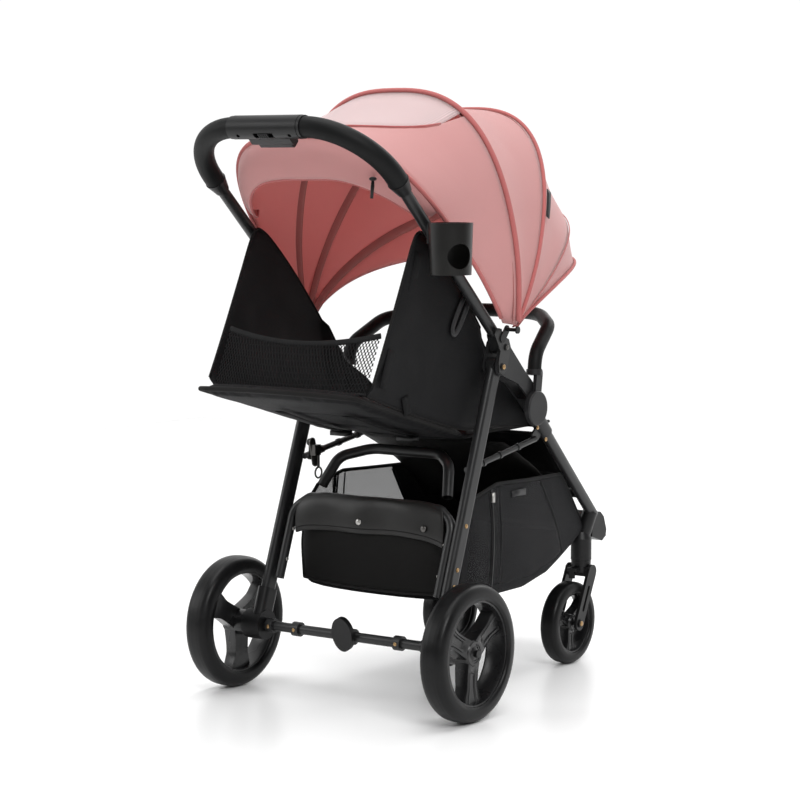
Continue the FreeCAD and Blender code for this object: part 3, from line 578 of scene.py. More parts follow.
# name: angle from +Y towards +Z, half width, radius, roundness, and how far the ends lag behind the crown
BOWS = {
    "rear": (46.5, 205.0, 427.0, 3.2, 0.0),
    "top": (84.8, 227.5, 387.0, 2.7, 0.0),
    "middle": (116.9, 223.5, 403.0, 2.6, 0.0),
    "front": (148.0, 219.5, 372.0, 2.6, 9.0),
    "hem": (162.0, 215.5, 364.0, 2.6, 17.0),
}
BOW_BODY = {"rear": "front_frame", "top": "hood_top", "middle": "hood_middle", "front": "hood_front",
            "hem": "hood_visor"}
PIVOT_PULL = 10.0
PULL_BELOW = 150.0
ARCH_STEPS = 96


def arch_point(bow, t, inset=0.0, turn=0.0):
    """A point of a bow's arch; t runs 0 to 1 from the left pivot over the crown to the right."""
    angle, half, radius, n, lag = BOWS[bow]
    half, radius = half - inset, radius - inset
    swing = math.pi * t
    c, s = math.cos(swing), max(math.sin(swing), 0.0)
    reach = radius * s ** (2 / n)
    pull = PIVOT_PULL * max(0.0, 1 - reach / PULL_BELOW) ** 2
    x = math.copysign(half * abs(c) ** (2 / n) - pull, c)
    a = math.radians(angle + turn - lag * max(0.0, 1 - reach / radius) ** 1.3)
    return HOOD_PIVOT + Vector((x, reach * math.cos(a), reach * math.sin(a))) * MM


def arch_steps(low=0.0015, high=0.9985, count=ARCH_STEPS):
    """Even steps along the arch, closer together near the pivots, where it turns sharply."""
    return [low + (high - low) * (0.5 - 0.5 * math.cos(math.pi * k / count)) * 0.5
            + (high - low) * (k / count) * 0.5 for k in range(count + 1)]


def panel_point(a, b, t, v, sag):
    """A point of the skin between two bows: taut rulings that sink a little between them."""
    p = lerp(arch_point(a, t, 1.2), arch_point(b, t, 1.2), v)
    inward = (HOOD_PIVOT + Vector((p.x - HOOD_PIVOT.x, 0, 0)) * 0.35 - p).normalized()
    dip = sag * math.sin(math.pi * v) ** 1.2 * math.sin(math.pi * t) ** 0.7
    return p + inward * dip * MM


def hood_panel(name, a, b, sag, seed, bands=12, fold=0.0016):
    """One gore of the hood between two bows."""
    shape = Shape("hood", "window", "hood_inner")
    rows = []
    for k in range(bands + 1):
        v = k / bands
        row = []
        for t in arch_steps():
            p = panel_point(a, b, t, v, sag)
            ease = math.sin(math.pi * v) * min(1.0, 4 * math.sin(math.pi * t))
            row.append(p + wrinkle(p, 11.0, fold * ease, seed) + wrinkle(p, 31.0, fold * 0.35 * ease, seed))
        rows.append(row)
    shape.grid(rows, "hood")
    return shape.piece(name), rows


WINDOW_MIDDLE, WINDOW_HALF = 0.5, 0.168      # the window's middle and half length along the arch
WINDOW_DEEP = 0.72                           # how far down the rear panel its lower edge comes


def window_edge(t):
    """Share of the rear panel above the window's lower edge, zero outside the window."""
    u = (t - WINDOW_MIDDLE) / WINDOW_HALF
    return WINDOW_DEEP * math.sqrt(1 - u * u) if abs(u) < 1 else 0.0


def rear_panel():
    """Rear gore in two layers of rows: cloth up to the window's edge, net from there to the bow."""
    shape = Shape("hood", "window", "hood_inner")
    steps = arch_steps()
    sag = 7.0

    def row(share_of):
        made = []
        for t in steps:
            v = share_of(t)
            p = panel_point("rear", "top", t, v, sag)
            ease = math.sin(math.pi * v) * min(1.0, 4 * math.sin(math.pi * t))
            made.append(p + wrinkle(p, 9.0, 0.0022 * ease, 3.0) + wrinkle(p, 27.0, 0.0007 * ease, 3.0))
        return made

    cloth = [row(lambda t, k=k: (1 - window_edge(t)) * k / 12) for k in range(13)]
    shape.grid(cloth, "hood")
    inside = [t for t in steps if window_edge(t) > 0]
    net_rows = []
    for k in range(6):
        made = []
        for t in inside:
            v = 1 - window_edge(t) * (1 - k / 5)
            made.append(panel_point("rear", "top", t, v, sag))
        net_rows.append(made)
    shape.grid(net_rows, "window")
    piece = shape.piece("hood_rear_cloth")
    edge = [panel_point("rear", "top", t, 1 - window_edge(t), sag - 1.6) for t in inside]
    whole = [cloth[0], [panel_point("rear", "top", t, 0.5, sag) for t in steps],
             [panel_point("rear", "top", t, 1.0, sag) for t in steps]]
    return piece, edge, whole


def lined(piece, thickness=0.0016):
    """Outer cloth outside, lining inside: the sheet gets its thickness and its two faces."""
    mesh = piece.data
    outer_slots = len(mesh.materials)
    solid = piece.modifiers.new("solid", "SOLIDIFY")
    solid.thickness = thickness
    solid.offset = -1.0
    solid.material_offset = 0
    bake(piece)
    mesh = piece.data
    centre = HOOD_PIVOT
    lining = 2
    for polygon in mesh.polygons:
        if polygon.material_index != 0:
            continue
        out = polygon.center - Vector((centre.x, centre.y, centre.z))
        if polygon.normal.dot(out) < 0:
            polygon.material_index = lining
    return outer_slots


def bow_cover(name, bow, body, replaced, width=0.0042, sleeve=True):
    """Corded piping over a bow, with the sewn sleeve that holds it inside the hood."""
    shape = Shape("piping", "sleeve")
    steps = arch_steps(0.004, 0.996)
    line = [arch_point(bow, t, -0.6) for t in steps]
    shape.tube(line, width, "piping", sides=10)
    if sleeve:
        inner = [arch_point(bow, t, 4.2) for t in steps]
        across = [(arch_point(bow, t, 4.2, 2.0) - arch_point(bow, t, 4.2, -2.0)).normalized() for t in steps]
        for lift, half in ((0.0, 0.0085),):
            rows = []
            for k in range(9):
                s = -1 + 2 * k / 8
                crown = 0.0022 * (1 - s * s)
                rows.append([
                    p + a * (s * half) + (HOOD_PIVOT - p).normalized() * (crown + lift)
                    for p, a in zip(inner, across)
                ])
            shape.grid(rows, "sleeve")
        for edge in (-1, 1):
            shape.tube([p + a * (edge * 0.0086) for p, a in zip(inner, across)], 0.0007, "sleeve", sides=6)
    piece = shape.piece(name)
    return place(piece, body, "hood_piping", *replaced)


def rear_valance():
    """Loose rear edge of the hood: it drops from the rear bow and ends in an elastic hem."""
    shape = Shape("hood", "window", "hood_inner")
    steps = arch_steps(0.155, 0.845, 56)
    rows, hem = [], []
    for k in range(11):
        v = k / 10
        row = []
        for t in steps:
            u = (t - 0.155) / 0.69
            drop = 66.0 * math.sin(math.pi * u) ** 0.42
            top = arch_point("rear", t, 1.0)
            tuck = 16.0 * math.sin(math.pi * u) ** 0.8
            belly = math.sin(math.pi * v) * 7.0 * math.sin(math.pi * u)
            p = top + Vector((-top.x * 0.10 * v * v, (-tuck * v * v + belly) * MM, -drop * v * MM))
            row.append(p + wrinkle(p, 13.0, 0.0018 * v, 5.0))
        rows.append(row)
    hem = rows[-1]
    shape.grid(rows, "hood")
    piece = shape.piece("hood_rear_valance")
    lined(piece)
    cord = Shape("piping")
    cord.tube(hem, 0.0022, "piping", sides=8)
    return piece, rows, cord.piece("hood_rear_hem")


def hood():
    back, window_line, back_rows = rear_panel()
    lined(back)
    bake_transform(back)
    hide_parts("hood_panel_rear")
    seam = Shape("piping")
    seam.tube(window_line, 0.0017, "piping", sides=8)
    second = [p + (HOOD_PIVOT - p).normalized() * -0.0004 + Vector((0, 0.0052, -0.0030)) for p in window_line]
    seam.tube(second, 0.0011, "piping", sides=6)
    seam = seam.piece("hood_window_seam")
    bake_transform(seam)
    declare_sheet(back, back_rows)
    crown, rows = hood_panel("hood_top_cloth", "top", "middle", 9.0, 1.0)
    lined(crown)
    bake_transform(crown)
    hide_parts("hood_panel_top")
    declare_sheet(crown, rows)
    brow, rows = hood_panel("hood_front_cloth", "middle", "front", 8.0, 2.0)
    lined(brow)
    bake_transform(brow)
    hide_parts("hood_panel_front")
    declare_sheet(brow, rows)
    visor, rows = hood_panel("hood_visor_cloth", "front", "hem", 3.0, 4.0, bands=6, fold=0.0010)
    lined(visor)
    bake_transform(visor)
    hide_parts("hood_visor")
    declare_sheet(visor, rows)
    valance, rows, hem = rear_valance()
    place(valance, "front_frame", "hood_fabric")
    place(hem, "front_frame", "hood_piping")
    declare_sheet(valance, rows)
    bow_cover("hood_rear_piping", "rear", "front_frame", ["hood_bow_rear"], 0.0036, sleeve=False)
    bow_cover("hood_top_piping", "top", "hood_top", ["hood_bow_top"], 0.0046)
    bow_cover("hood_middle_piping", "middle", "hood_middle", ["hood_bow_middle"], 0.0034)
    bow_cover("hood_front_seam", "front", "hood_front", ["hood_bow_front"], 0.0009)
    bow_cover("hood_hem_piping", "hem", "hood_visor", [], 0.0026, sleeve=False)
    pull = Shape("trim")
    top = at(-133, 110, 852)
    pull.ball(top, 0.0062, "trim", (1, 1.0, 0.55))
    pull.tube([top, top + Vector((0, 0.001, -0.012)), top + Vector((0.001, 0.002, -0.030))],
              [0.0021, 0.0029, 0.0024], "trim", sides=8, flat=0.6)
    place(pull.piece("zip_pull"), "front_frame", "trim_plastic")
    tab = Shape("grey")
    steps = [0.818 + 0.001 * k for k in range(0, 49, 6)]
    rows = []
    for turn in (0.6, 3.4):
        rows.append([arch_point("middle", t, -4.4, turn) for t in steps])
    tab.grid(rows, "grey")
    tab = thicken(tab.piece("hood_side_tab"), 0.0015)
    place(tab, "hood_middle", "trim_plastic")


# ---- seat -----------------------------------------------------------------------------------
RECLINE = at(0, -128, 432)
BACK_ANGLE = math.radians(15.5)
BACK_LENGTH = 336.0
BACK_HALF = 149.0


def back_point(x, distance, lift=0.0):
    """A point over the seat back: distance up it from the pivot, lift square to it."""
    c, s = math.cos(BACK_ANGLE), math.sin(BACK_ANGLE)
    return RECLINE + Vector((x, distance * c - lift * s, distance * s + lift * c)) * MM


def cushion(point, outline, thick, nu=28, nv=30, seams=(), name="pad", crown=0.55, edge_material="seat_edge"):
    """A crowned closed pad. point(u, v, lift) maps the unit square; outline(v) gives its half width share."""
    shape = Shape("seat", edge_material)
    sides = []
    for face in (1, -1):
        rows = []
        for j in range(nv + 1):
            v = j / nv
            row = []
            for i in range(nu + 1):
                u = -1 + 2 * i / nu
                border = min(1 - abs(u), 2 * min(v, 1 - v))
                rise = (1 - (1 - min(1.0, border / 0.24)) ** 2.4) ** 0.5 if border > 0 else 0.0
                swell = thick * (rise * (1 - crown) + rise * crown * (1 - u * u) * (1 - (2 * v - 1) ** 2))
                for place_v, depth, wide in seams:
                    swell -= thick * depth * math.exp(-((v - place_v) / wide) ** 2) * rise
                row.append(point(u * outline(v), v, face * max(swell * (1.0 if face > 0 else 0.45), 2.4)))
            rows.append(row)
        shape.grid(rows, "seat", flip=face < 0)
        sides.append(rows)
    upper, lower = [
        rim[0][:] + [r[-1] for r in rim[1:]] + rim[-1][-2::-1] + [r[0] for r in rim[-2:0:-1]] for rim in sides
    ]
    shape.grid([lower, upper], "seat", wrap=True)
    return shape.piece(name)


SIM_VOXEL = 0.0042
SIM_FRAMES = 20


def puff(piece, cap, pressure=4.0):
    """Swell a pad with a cloth simulation, no further than cap, and keep the result as its mesh."""
    remesh = piece.modifiers.new("remesh", "REMESH")
    remesh.mode = "VOXEL"
    remesh.voxel_size = SIM_VOXEL
    bake(piece)
    piece.data.materials.clear()
    piece.data.materials.append(MATERIAL["seat"])
    start = [v.co.copy() for v in piece.data.vertices]
    cloth = piece.modifiers.new("cloth", "CLOTH")
    cloth.settings.use_pressure = True
    cloth.settings.uniform_pressure_force = pressure
    cloth.settings.quality = 6
    cloth.settings.tension_stiffness = 30
    cloth.settings.compression_stiffness = 12
    cloth.settings.bending_stiffness = 2.0
    cloth.settings.effector_weights.gravity = 0
    cloth.collision_settings.use_collision = False
    cloth.point_cache.frame_start = 1
    cloth.point_cache.frame_end = SIM_FRAMES
    for step in range(1, SIM_FRAMES + 1):
        SCENE.frame_set(step)
    bake(piece)
    for vertex, rest in zip(piece.data.vertices, start):
        move = vertex.co - rest
        if move.length > cap:
            vertex.co = rest + move.normalized() * cap
    SCENE.frame_set(1)
    piece.data.polygons.foreach_set("use_smooth", [True] * len(piece.data.polygons))
    subdivide(piece, 1)
    return piece


def seat_cushion():
    front, back = -425.0, -142.0

    def point(u, v, lift):
        y = lerp(back, front, v)
        dish = -5.0 * (1 - (u / 138.0) ** 2)
        return at(u, y, 433.0 + dish + 4.0 * math.sin(math.pi * v)) + Vector((0, 0, lift * MM))

    def half(v):
        return lerp(137.0, 117.0, smooth_step((v - 0.55) / 0.45))

    pad = cushion(point, half, 13.0, seams=((0.33, 0.5, 0.018), (0.66, 0.5, 0.018)), name="seat_cushion")
    puff(pad, 0.005)
    place(pad, "front_frame", "seat_fabric", "seat_pad")
    lines = Shape("seat_edge")
    for v in (0.33, 0.66):
        lines.tube([point(half(v) * u / 10, v, 8.0) for u in range(-9, 10)], 0.0013, "seat_edge", sides=6)
    border = [point(half(k / 16), k / 16, 0) for k in range(17)]
    border += [point(half(1) * (1 - k / 8), 1, 0) for k in range(1, 17)]
    border += [point(-half(1 - k / 16), 1 - k / 16, 0) for k in range(1, 17)]
    lines.tube(border, 0.0028, "seat_edge", sides=8)
    place(lines.piece("seat_cushion_seams"), "front_frame", "seat_fabric")


def seat_back():
    """Padded back that ends in the shelf behind the child's head, with its corded rim."""
    def point(u, v, lift):
        d = lerp(8.0, BACK_LENGTH - 12, v)
        bow = 16.0 * (1 - (u / BACK_HALF) ** 2) * smooth_step((v - 0.72) / 0.28)
        return back_point(u, d + bow, 2.0 + lift)

    def half(v):
        return BACK_HALF + 4.0 * smooth_step((v - 0.6) / 0.4)

    pad = cushion(point, half, 12.0, nu=32, nv=34, seams=((0.3, 0.45, 0.016), (0.62, 0.45, 0.016)),
                  name="seat_back", crown=0.4)
    puff(pad, 0.005)
    place(pad, "backrest", "seat_fabric", "backrest")
    rim = Shape("seat_edge")
    edge = [point(half(v) * s, v, 0) for s, v in [(-1, k / 12) for k in range(1, 12)]]
    edge += [point(half(1.0) * (-1 + 2 * k / 20), 1.0, 0) for k in range(21)]
    edge += [point(half(v), v, 0) for v in [k / 12 for k in range(11, 0, -1)]]
    rim.tube(edge, 0.0042, "seat_edge", sides=10)
    place(rim.piece("shelf_rim"), "backrest", "seat_fabric")
    lines = Shape("seat_edge")
    for v in (0.3, 0.62):
        lines.tube([point(half(v) * u / 10, v, 8.5) for u in range(-9, 10)], 0.0012, "seat_edge", sides=6)
    place(lines.piece("seat_back_seams"), "backrest", "seat_fabric")
    under = Shape("webbing", "trim")
    for x in (-74, 60):
        strap = [back_point(x, d, -12.5 - 3.0 * math.sin(math.pi * (d - 40) / 190)) for d in range(40, 231, 19)]
        under.tube(strap, 0.011, "webbing", sides=12, flat=0.12, up=(0, -0.27, 0.96))
        under.block(box_corners(back_point(x, 62, -16), (0.015, 0.011, 0.004)), "trim")
    place(under.piece("recline_straps"), "backrest", "webbing")


def box_corners(centre, half):
    x, y, z = half
    return [centre + Vector(c) for c in (
        (-x, -y, -z), (x, -y, -z), (x, y, -z), (-x, y, -z), (-x, -y, z), (x, -y, z), (x, y, z), (-x, y, z))]


# Top line of each side panel in the side view (y, z), from the hinge round the apex to the shelf's corner
WING_TOP = ((-322, 458), (-290, 482), (-258, 506), (-226, 524), (-200, 538), (-178, 566), (-148, 606), (-112, 648), (-62, 702), (-10, 750), (16, 767),
            (30, 768), (44, 752), (72, 694), (104, 628), (130, 576), (151, 536))
WING_LOW = ((-336, 432), (-312, 436), (-286, 438), (-256, 440), (-226, 443), (-196, 446), (-128, 446), (-90, 452), (-48, 462),
            (-6, 473), (36, 485), (74, 496), (106, 506), (132, 515), (152, 522))
WING_ROWS = 16


def spline(points, count):
    """Evenly spread points on a smooth line through the given ones."""
    made = []
    last = len(points) - 1
    for k in range(count + 1):
        s = k / count * last
        i = min(int(s), last - 1)
        t = s - i
        p = [points[max(0, min(last, i + d))] for d in (-1, 0, 1, 2)]
        value = [
            0.5 * ((2 * b) + (c - a) * t + (2 * a - 5 * b + 4 * c - d) * t * t + (3 * b - a - 3 * c + d) * t ** 3)
            for a, b, c, d in zip(*p)
        ]
        made.append(tuple(value))
    return made


def wing(name, s):
    """Cloth side between the seat and the handle tube."""
    shape = Shape("seat", "seat_edge")
    low, top = spline(WING_LOW, 60), spline(WING_TOP, 60)
    rows = []
    for j in range(WING_ROWS + 1):
        v = j / WING_ROWS
        row = []
        for (y0, z0), (y1, z1) in zip(low, top):
            height = z1 - z0
            out = lerp(150.5, 161.0 if y1 > -150 else 153.0, smooth_step(v)) + 5.0 * math.sin(math.pi * v) * min(
                1.0, height / 160)
            p = at(s * out, lerp(y0, y1, v), lerp(z0, z1, v))
            push = wrinkle(p, 8.0, 0.0045, 7.0 + s).x + wrinkle(p, 22.0, 0.0016, 3.0 + s).x
            row.append(p + Vector((push * math.sin(math.pi * v) * min(1.0, height / 120), 0, 0)))
        rows.append(row)
    shape.grid(rows, "seat")
    piece = shape.piece(f"seat_wing_{name}")
    thicken(piece, 0.0022)
    start, end = back_point(0, 150, 215), back_point(0, 150, 6)
    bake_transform(piece)
    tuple(start)
    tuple(end)
    border = Shape("seat_edge")
    border.tube([Vector(p) for p in rows[-1]], 0.0021, "seat_edge", sides=8)
    border.tube([Vector(p) for p in rows[0]], 0.0018, "seat_edge", sides=8)
    border = border.piece(f"wing_binding_{name}")
    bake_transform(border)
    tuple(start)
    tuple(end)
    declare_sheet(piece, rows)
    return piece


def wings():
    made = [wing(name, s) for name, s in SIDES]
    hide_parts("seat_wings")
    loop = Shape("grey")
    centre = at(-167.0, -80, 636)
    along = Vector((0, -0.58, 0.815)).normalized()
    across = Vector((0, 0.815, 0.58))
    ring = []
    for k in range(40):
        a = 2 * math.pi * k / 40
        c, n = math.cos(a), math.sin(a)
        ring.append(centre + along * (0.036 * math.copysign(abs(n) ** 0.7, n)) + across * (
            0.0088 * math.copysign(abs(c) ** 0.8, c)))
    loop.tube(ring, 0.0052, "grey", sides=12, closed=True, flat=0.45, up=(1, 0, 0))
    place(loop.piece("wing_loop"), "front_frame", "trim_plastic")
    for name, s in SIDES:
        tabs = Shape("webbing")
        for (y0, z0), (y1, z1), x in (((30, 738), (54, 676), 163.2), ((103, 590), (127, 532), 162.4),
                                      ((57, 514), (49, 486), 154.0)):
            strap(tabs, [at(s * x, lerp(y0, y1, k / 6), lerp(z0, z1, k / 6)) for k in range(7)], 0.009, 0.0016,
                  (s, 0, 0))
        tabs = tabs.piece(f"wing_tabs_{name}")
        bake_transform(tabs)


def rear_net():
    """Net behind the child's head, with its binding along the top edge."""
    shape = Shape("net")
    rows = []
    for j in range(11):
        v = j / 10
        row = []
        for i in range(29):
            u = -1 + 2 * i / 28
            low = at(150.0 * u, 153.0 + 12.0 * (1 - u * u), 524.0)
            high = at(149.0 * u, 112.0 + 11.0 * (1 - u * u), 612.0 - 17.0 * (1 - u * u))
            p = lerp(low, high, v)
            row.append(p + Vector((0, 0.004 * math.sin(math.pi * v) * (1 - u * u), 0)))
        rows.append(row)
    shape.grid(rows, "net")
    piece = shape.piece("rear_net")
    place(piece, "backrest", "net", "mesh_panel")
    edge = Shape("binding")
    edge.tube(rows[-1], 0.0046, "binding", sides=10, flat=0.35, up=(0, 1, 0.2))
    edge.tube(rows[0], 0.0026, "binding", sides=8)
    place(edge.piece("net_binding"), "backrest", "net")


def calf():
    angle = math.radians(229)
    along = Vector((0, math.cos(angle), math.sin(angle)))
    up = Vector((0, along.z, -along.y)) * -1
    base = at(0, -432, 412)

    def point(u, v, lift):
        return base + along * (lerp(6, 163, v) * MM) + Vector((u * MM, 0, 0)) - up * (lift * MM)

    pad = cushion(point, lambda v: lerp(111, 104, v), 9.0, nu=24, nv=18, seams=((0.5, 0.5, 0.03),), name="calf_pad")
    puff(pad, 0.004)
    place(pad, "calf_rest", "seat_fabric", "calf_rest")
    rim = Shape("seat_edge")
    border = [point(111 * u / 10, 0, 0) for u in range(-10, 11)] + [point(104, 1, 0)]
    border += [point(-104 * u / 10, 1, 0) for u in range(-9, 11)]
    rim.tube(border, 0.0026, "seat_edge", sides=8, closed=True)
    place(rim.piece("calf_piping"), "calf_rest", "seat_fabric")


def strap(shape, points, half, thick, up, material="webbing"):
    """Flat webbing along a line, with its two faces and edges."""
    points = [Vector(p) for p in points]
    up = Vector(up).normalized()
    rows = []
    for i, p in enumerate(points):
        before, after = points[max(0, i - 1)], points[min(len(points) - 1, i + 1)]
        side = (after - before).normalized().cross(up).normalized()
        rows.append([p + side * half, p + side * half + up * thick, p - side * half + up * thick, p - side * half])
    shape.grid(rows, material, wrap=True)
    base = len(shape.vertices)
    shape.add(rows[0] + rows[-1], [[3, 2, 1, 0], [4, 5, 6, 7]], material)
    return base


def harness():
    belts = Shape("webbing", "trim", "seat")
    for s in (1, -1):
        lap = [at(s * x, y, z) for x, y, z in ((132, -176, 452), (112, -186, 455), (88, -200, 456), (62, -216, 457),
                                               (34, -232, 459))]
        strap(belts, lap, 0.0125, 0.0018, (0, 0, 1))
    crotch = [at(0, y, z) for y, z in ((-350, 451), (-320, 455), (-296, 457), (-276, 459), (-258, 459))]
    strap(belts, crotch, 0.0145, 0.0018, (0, 0, 1))
    strap(belts, [p + Vector((0, 0, 0.0022)) for p in crotch[1:4]], 0.021, 0.005, (0, 0, 1), "seat")
    place(belts.piece("lap_harness"), "front_frame", "webbing", "seat_harness")
    shoulders = Shape("webbing", "seat")
    for s in (1, -1):
        line = [back_point(s * x, d, lift) for x, d, lift in (
            (34, 226, 15), (38, 190, 17), (44, 150, 18), (50, 105, 18.5), (58, 60, 18.5), (66, 22, 17))]
        strap(shoulders, line, 0.0125, 0.0018, (0, -0.27, 0.96))
        strap(shoulders, [p + Vector((0, -0.0006, 0.0020)) for p in line[1:5]], 0.024, 0.0055, (0, -0.27, 0.96), "seat")
    place(shoulders.piece("shoulder_harness"), "backrest", "webbing", "shoulder_straps")


# ---- basket ---------------------------------------------------------------------------------
BASKET = (          # y, half width, floor, rim
    (-88, 155, 172, 300), (-130, 158, 166, 334), (-200, 158, 162, 350), (-300, 156, 162, 346),
    (-380, 150, 174, 344), (-428, 141, 186, 341), (-480, 131, 200, 290), (-522, 122, 216, 250), (-540, 119, 226, 240),
)


def basket_station(y):
    for a, b in zip(BASKET, BASKET[1:]):
        if y >= b[0]:
            t = (y - a[0]) / (b[0] - a[0])
            return [lerp(p, q, t) for p, q in zip(a[1:], b[1:])]
    return BASKET[-1][1:]


BASKET_LENGTH = 452.0
NET_END, NET_SLOPE = -338.0, 0.66            # the side cloth's front seam, at the rim, and how it slants below


def basket():
    """Open bag: one continuous cloth from rim to rim under the load, with open-weave patches in its side walls and a
    cloth front wall.
    """
    shape = Shape("basket", "side_net")
    stations = [-88 - BASKET_LENGTH * k / 90 for k in range(91)]
    rows = []
    for y in stations:
        half, floor, rim = basket_station(y)
        row = []
        corner = 20.0
        path = [(half, rim + (floor + corner - rim) * k / 26) for k in range(27)]
        path += [(half - corner + corner * math.cos(a), floor + corner - corner * math.sin(a))
                 for a in (math.pi / 2 * k / 5 for k in range(1, 6))]
        path += [(lerp(half - corner, -half + corner, k / 14), floor) for k in range(1, 14)]
        path += [(-half + corner - corner * math.sin(a), floor + corner - corner * math.cos(a))
                 for a in (math.pi / 2 * k / 5 for k in range(0, 6))]
        path += [(-half, rim + (floor + corner - rim) * k / 26) for k in range(25, -1, -1)]
        for x, z in path:
            p = at(x, y, z)
            height = (z - floor) / (rim - floor)
            belly = 5.0 * math.sin(math.pi * max(0.0, min(1.0, height))) if abs(x) > half - 1 else 0.0
            sag = -6.0 * (1 - (x / half) ** 2) if abs(x) < half - corner else 0.0
            p += Vector((math.copysign(belly, x) * MM, 0, sag * MM))
            row.append(p + wrinkle(p, 9.0, 0.0035, 2.0) * math.sin(math.pi * max(0.05, min(0.95, height))))
        rows.append(row)
    shape.grid(rows, "basket")
    across = len(rows[0]) - 1
    for k in range(len(shape.faces)):
        i, j = divmod(k, across)
        y = (stations[i] + stations[i + 1]) / 2
        z = (rows[i][j].z + rows[i][j + 1].z) / 2 / MM
        wall = j < 26 or j >= across - 26
        if wall and -106 > y > NET_END - (342 - z) * NET_SLOPE:
            shape.numbers[k] = 1
    piece = shape.piece("basket_bag")
    thicken(piece, 0.0018)
    place(piece, "front_frame", "basket_fabric", "basket")
    trims = Shape("binding", "trim", "steel", "grey")
    for column in (0, -1):
        trims.tube([r[column] for r in rows], 0.0032, "binding", sides=8)
    for s in (1, -1):
        seam_y = (-176, -186)
        for y in seam_y:
            half, floor, rim = basket_station(y)
            line = [at(s * (half + 6.2 * math.sin(math.pi * k / 14)), y, lerp(rim, floor + 12, k / 14))
                    for k in range(15)]
            trims.tube(line, 0.0016, "binding", sides=6)
        half, floor, rim = basket_station(-181)
        zipper = [at(s * (half + 1.5 + 5.4 * math.sin(math.pi * k / 14)), -181, lerp(rim, floor + 12, k / 14))
                  for k in range(15)]
        trims.tube(zipper, 0.0026, "trim", sides=6, flat=0.5, up=(1, 0, 0))
        trims.block(box_corners(at(s * (half + 5.0), -181, rim - 16), (0.0025, 0.003, 0.008)), "steel")
        seam = [at(s * (basket_station(-196 - 0.0 * k)[0] + 5.6 * math.sin(math.pi * k / 14)), -206,
                   lerp(basket_station(-206)[2], basket_station(-206)[1] + 12, k / 14)) for k in range(15)]
        trims.tube(seam, 0.0013, "binding", sides=6)
        slant = []
        for k in range(19):
            z = lerp(338, 204, k / 18)
            y = NET_END - (342 - z) * NET_SLOPE
            half, floor, rim = basket_station(y)
            bulge = 5.0 * math.sin(math.pi * max(0.0, min(1.0, (z - floor) / (rim - floor))))
            slant.append(at(s * (half + bulge), y, z))
        trims.tube(slant, 0.0026, "binding", sides=6)
    half, floor, rim = basket_station(-262)
    trims.block(box_corners(at(-half - 4.2, -262, rim - 19), (0.0014, 0.021, 0.0052)), "grey")
    place(trims.piece("basket_trims"), "front_frame", "basket_fabric")
    front = Shape("pouch")
    rows = []
    for j in range(9):
        v = j / 8
        rows.append([
            at(lerp(118, 139, v) * u / 10, lerp(-538, -430, v), lerp(228, 341, v)) for u in range(-10, 11)
        ])
    front.grid(rows, "pouch")
    piece = thicken(front.piece("basket_front_wall"), 0.0018)
    place(piece, "front_frame", "basket_fabric")
    declare_sheet(piece, rows)
    apron = Shape("pouch")
    rows = []
    for j in range(13):
        v = j / 12
        row = []
        for i in range(21):
            u = -1 + 2 * i / 20
            p = at(lerp(149, 139, v) * u, lerp(-236, -418, v) - 26.0 * math.sin(math.pi * v) * u * u,
                   lerp(414, 286, v) + 10.0 * math.sin(math.pi * v) * (1 - u * u))
            row.append(p + wrinkle(p, 10.0, 0.0035, 4.0) * math.sin(math.pi * v))
        rows.append(row)
    apron.grid(rows, "pouch")
    piece = thicken(apron.piece("seat_apron"), 0.0018)
    place(piece, "front_frame", "basket_fabric")
    declare_sheet(piece, rows)


def rear_pouch():
    """Rear pouch and the leatherette flap folded over the hoop, closed by two snaps."""
    pouch = Shape("pouch", "seat_edge")
    rows = []
    for j in range(19):
        v = j / 18
        row = []
        for i in range(31):
            u = -1 + 2 * i / 30
            half = lerp(142, 154, smooth_step(v * 1.6))
            z = lerp(314, 181, v) + (1 - u * u) * -6.0 * v
            y = lerp(-72, -84, v) + 19.0 * math.sin(math.pi * min(1.0, v * 0.9)) ** 0.8 * (1 - abs(u) ** 5)
            p = at(half * u, y, z)
            row.append(p + Vector((0, wrinkle(p, 11.0, 0.004, 6.0).y * math.sin(math.pi * v), 0)))
        rows.append(row)
    pouch.grid(rows, "pouch")
    piece = pouch.piece("rear_pouch")
    thicken(piece, 0.0022)
    place(piece, "front_frame", "basket_fabric")
    declare_sheet(piece, rows)
    trim = Shape("seat_edge")
    for column in (0, -1):
        trim.tube([r[column] for r in rows], 0.0024, "seat_edge", sides=8)
    trim.tube(rows[-1], 0.0024, "seat_edge", sides=8)
    place(trim.piece("rear_pouch_piping"), "front_frame", "basket_fabric")
    flap = Shape("leatherette")
    profile = ((-90, 306), (-87.5, 318), (-83, 327), (-75, 331), (-66, 328.5), (-60.5, 320), (-57.5, 310), (-55.5, 299),
               (-54.5, 288), (-55.5, 276))
    line = spline(profile, 22)
    rows = []
    for i in range(37):
        u = -1 + 2 * i / 36
        row = []
        for k, (y, z) in enumerate(line):
            v = k / 22
            half = lerp(129, 149, smooth_step(v * 1.3))
            droop = -5.0 * v * (1 - abs(u) ** 3)
            p = at(half * u, y, z + droop - lerp(3.0, 16.0, v) * abs(u) ** 5)
            row.append(p + wrinkle(p, 13.0, 0.0030, 9.0) + Vector((0, 0.0018 * math.sin(9 * u) * v, 0)))
        rows.append(row)
    flap.grid(rows, "leatherette")
    piece = thicken(flap.piece("rear_flap"), 0.0020, levels=1)
    place(piece, "front_frame", "leatherette", "basket_flap")
    declare_sheet(piece, rows)
    snaps = Shape("steel", "dark_steel", "seat_edge")
    for x, material in ((17, "steel"), (-113, "dark_steel")):
        snaps.rivet(at(x, -53.6, 289), (0, 1, 0.05), 0.0056, 0.0030, material)
    snaps.tube([r[-2] + Vector((0, 0.0016, 0.004)) for r in rows], 0.0007, "seat_edge", sides=6)
    place(snaps.piece("flap_snaps"), "front_frame", "latch_steel")


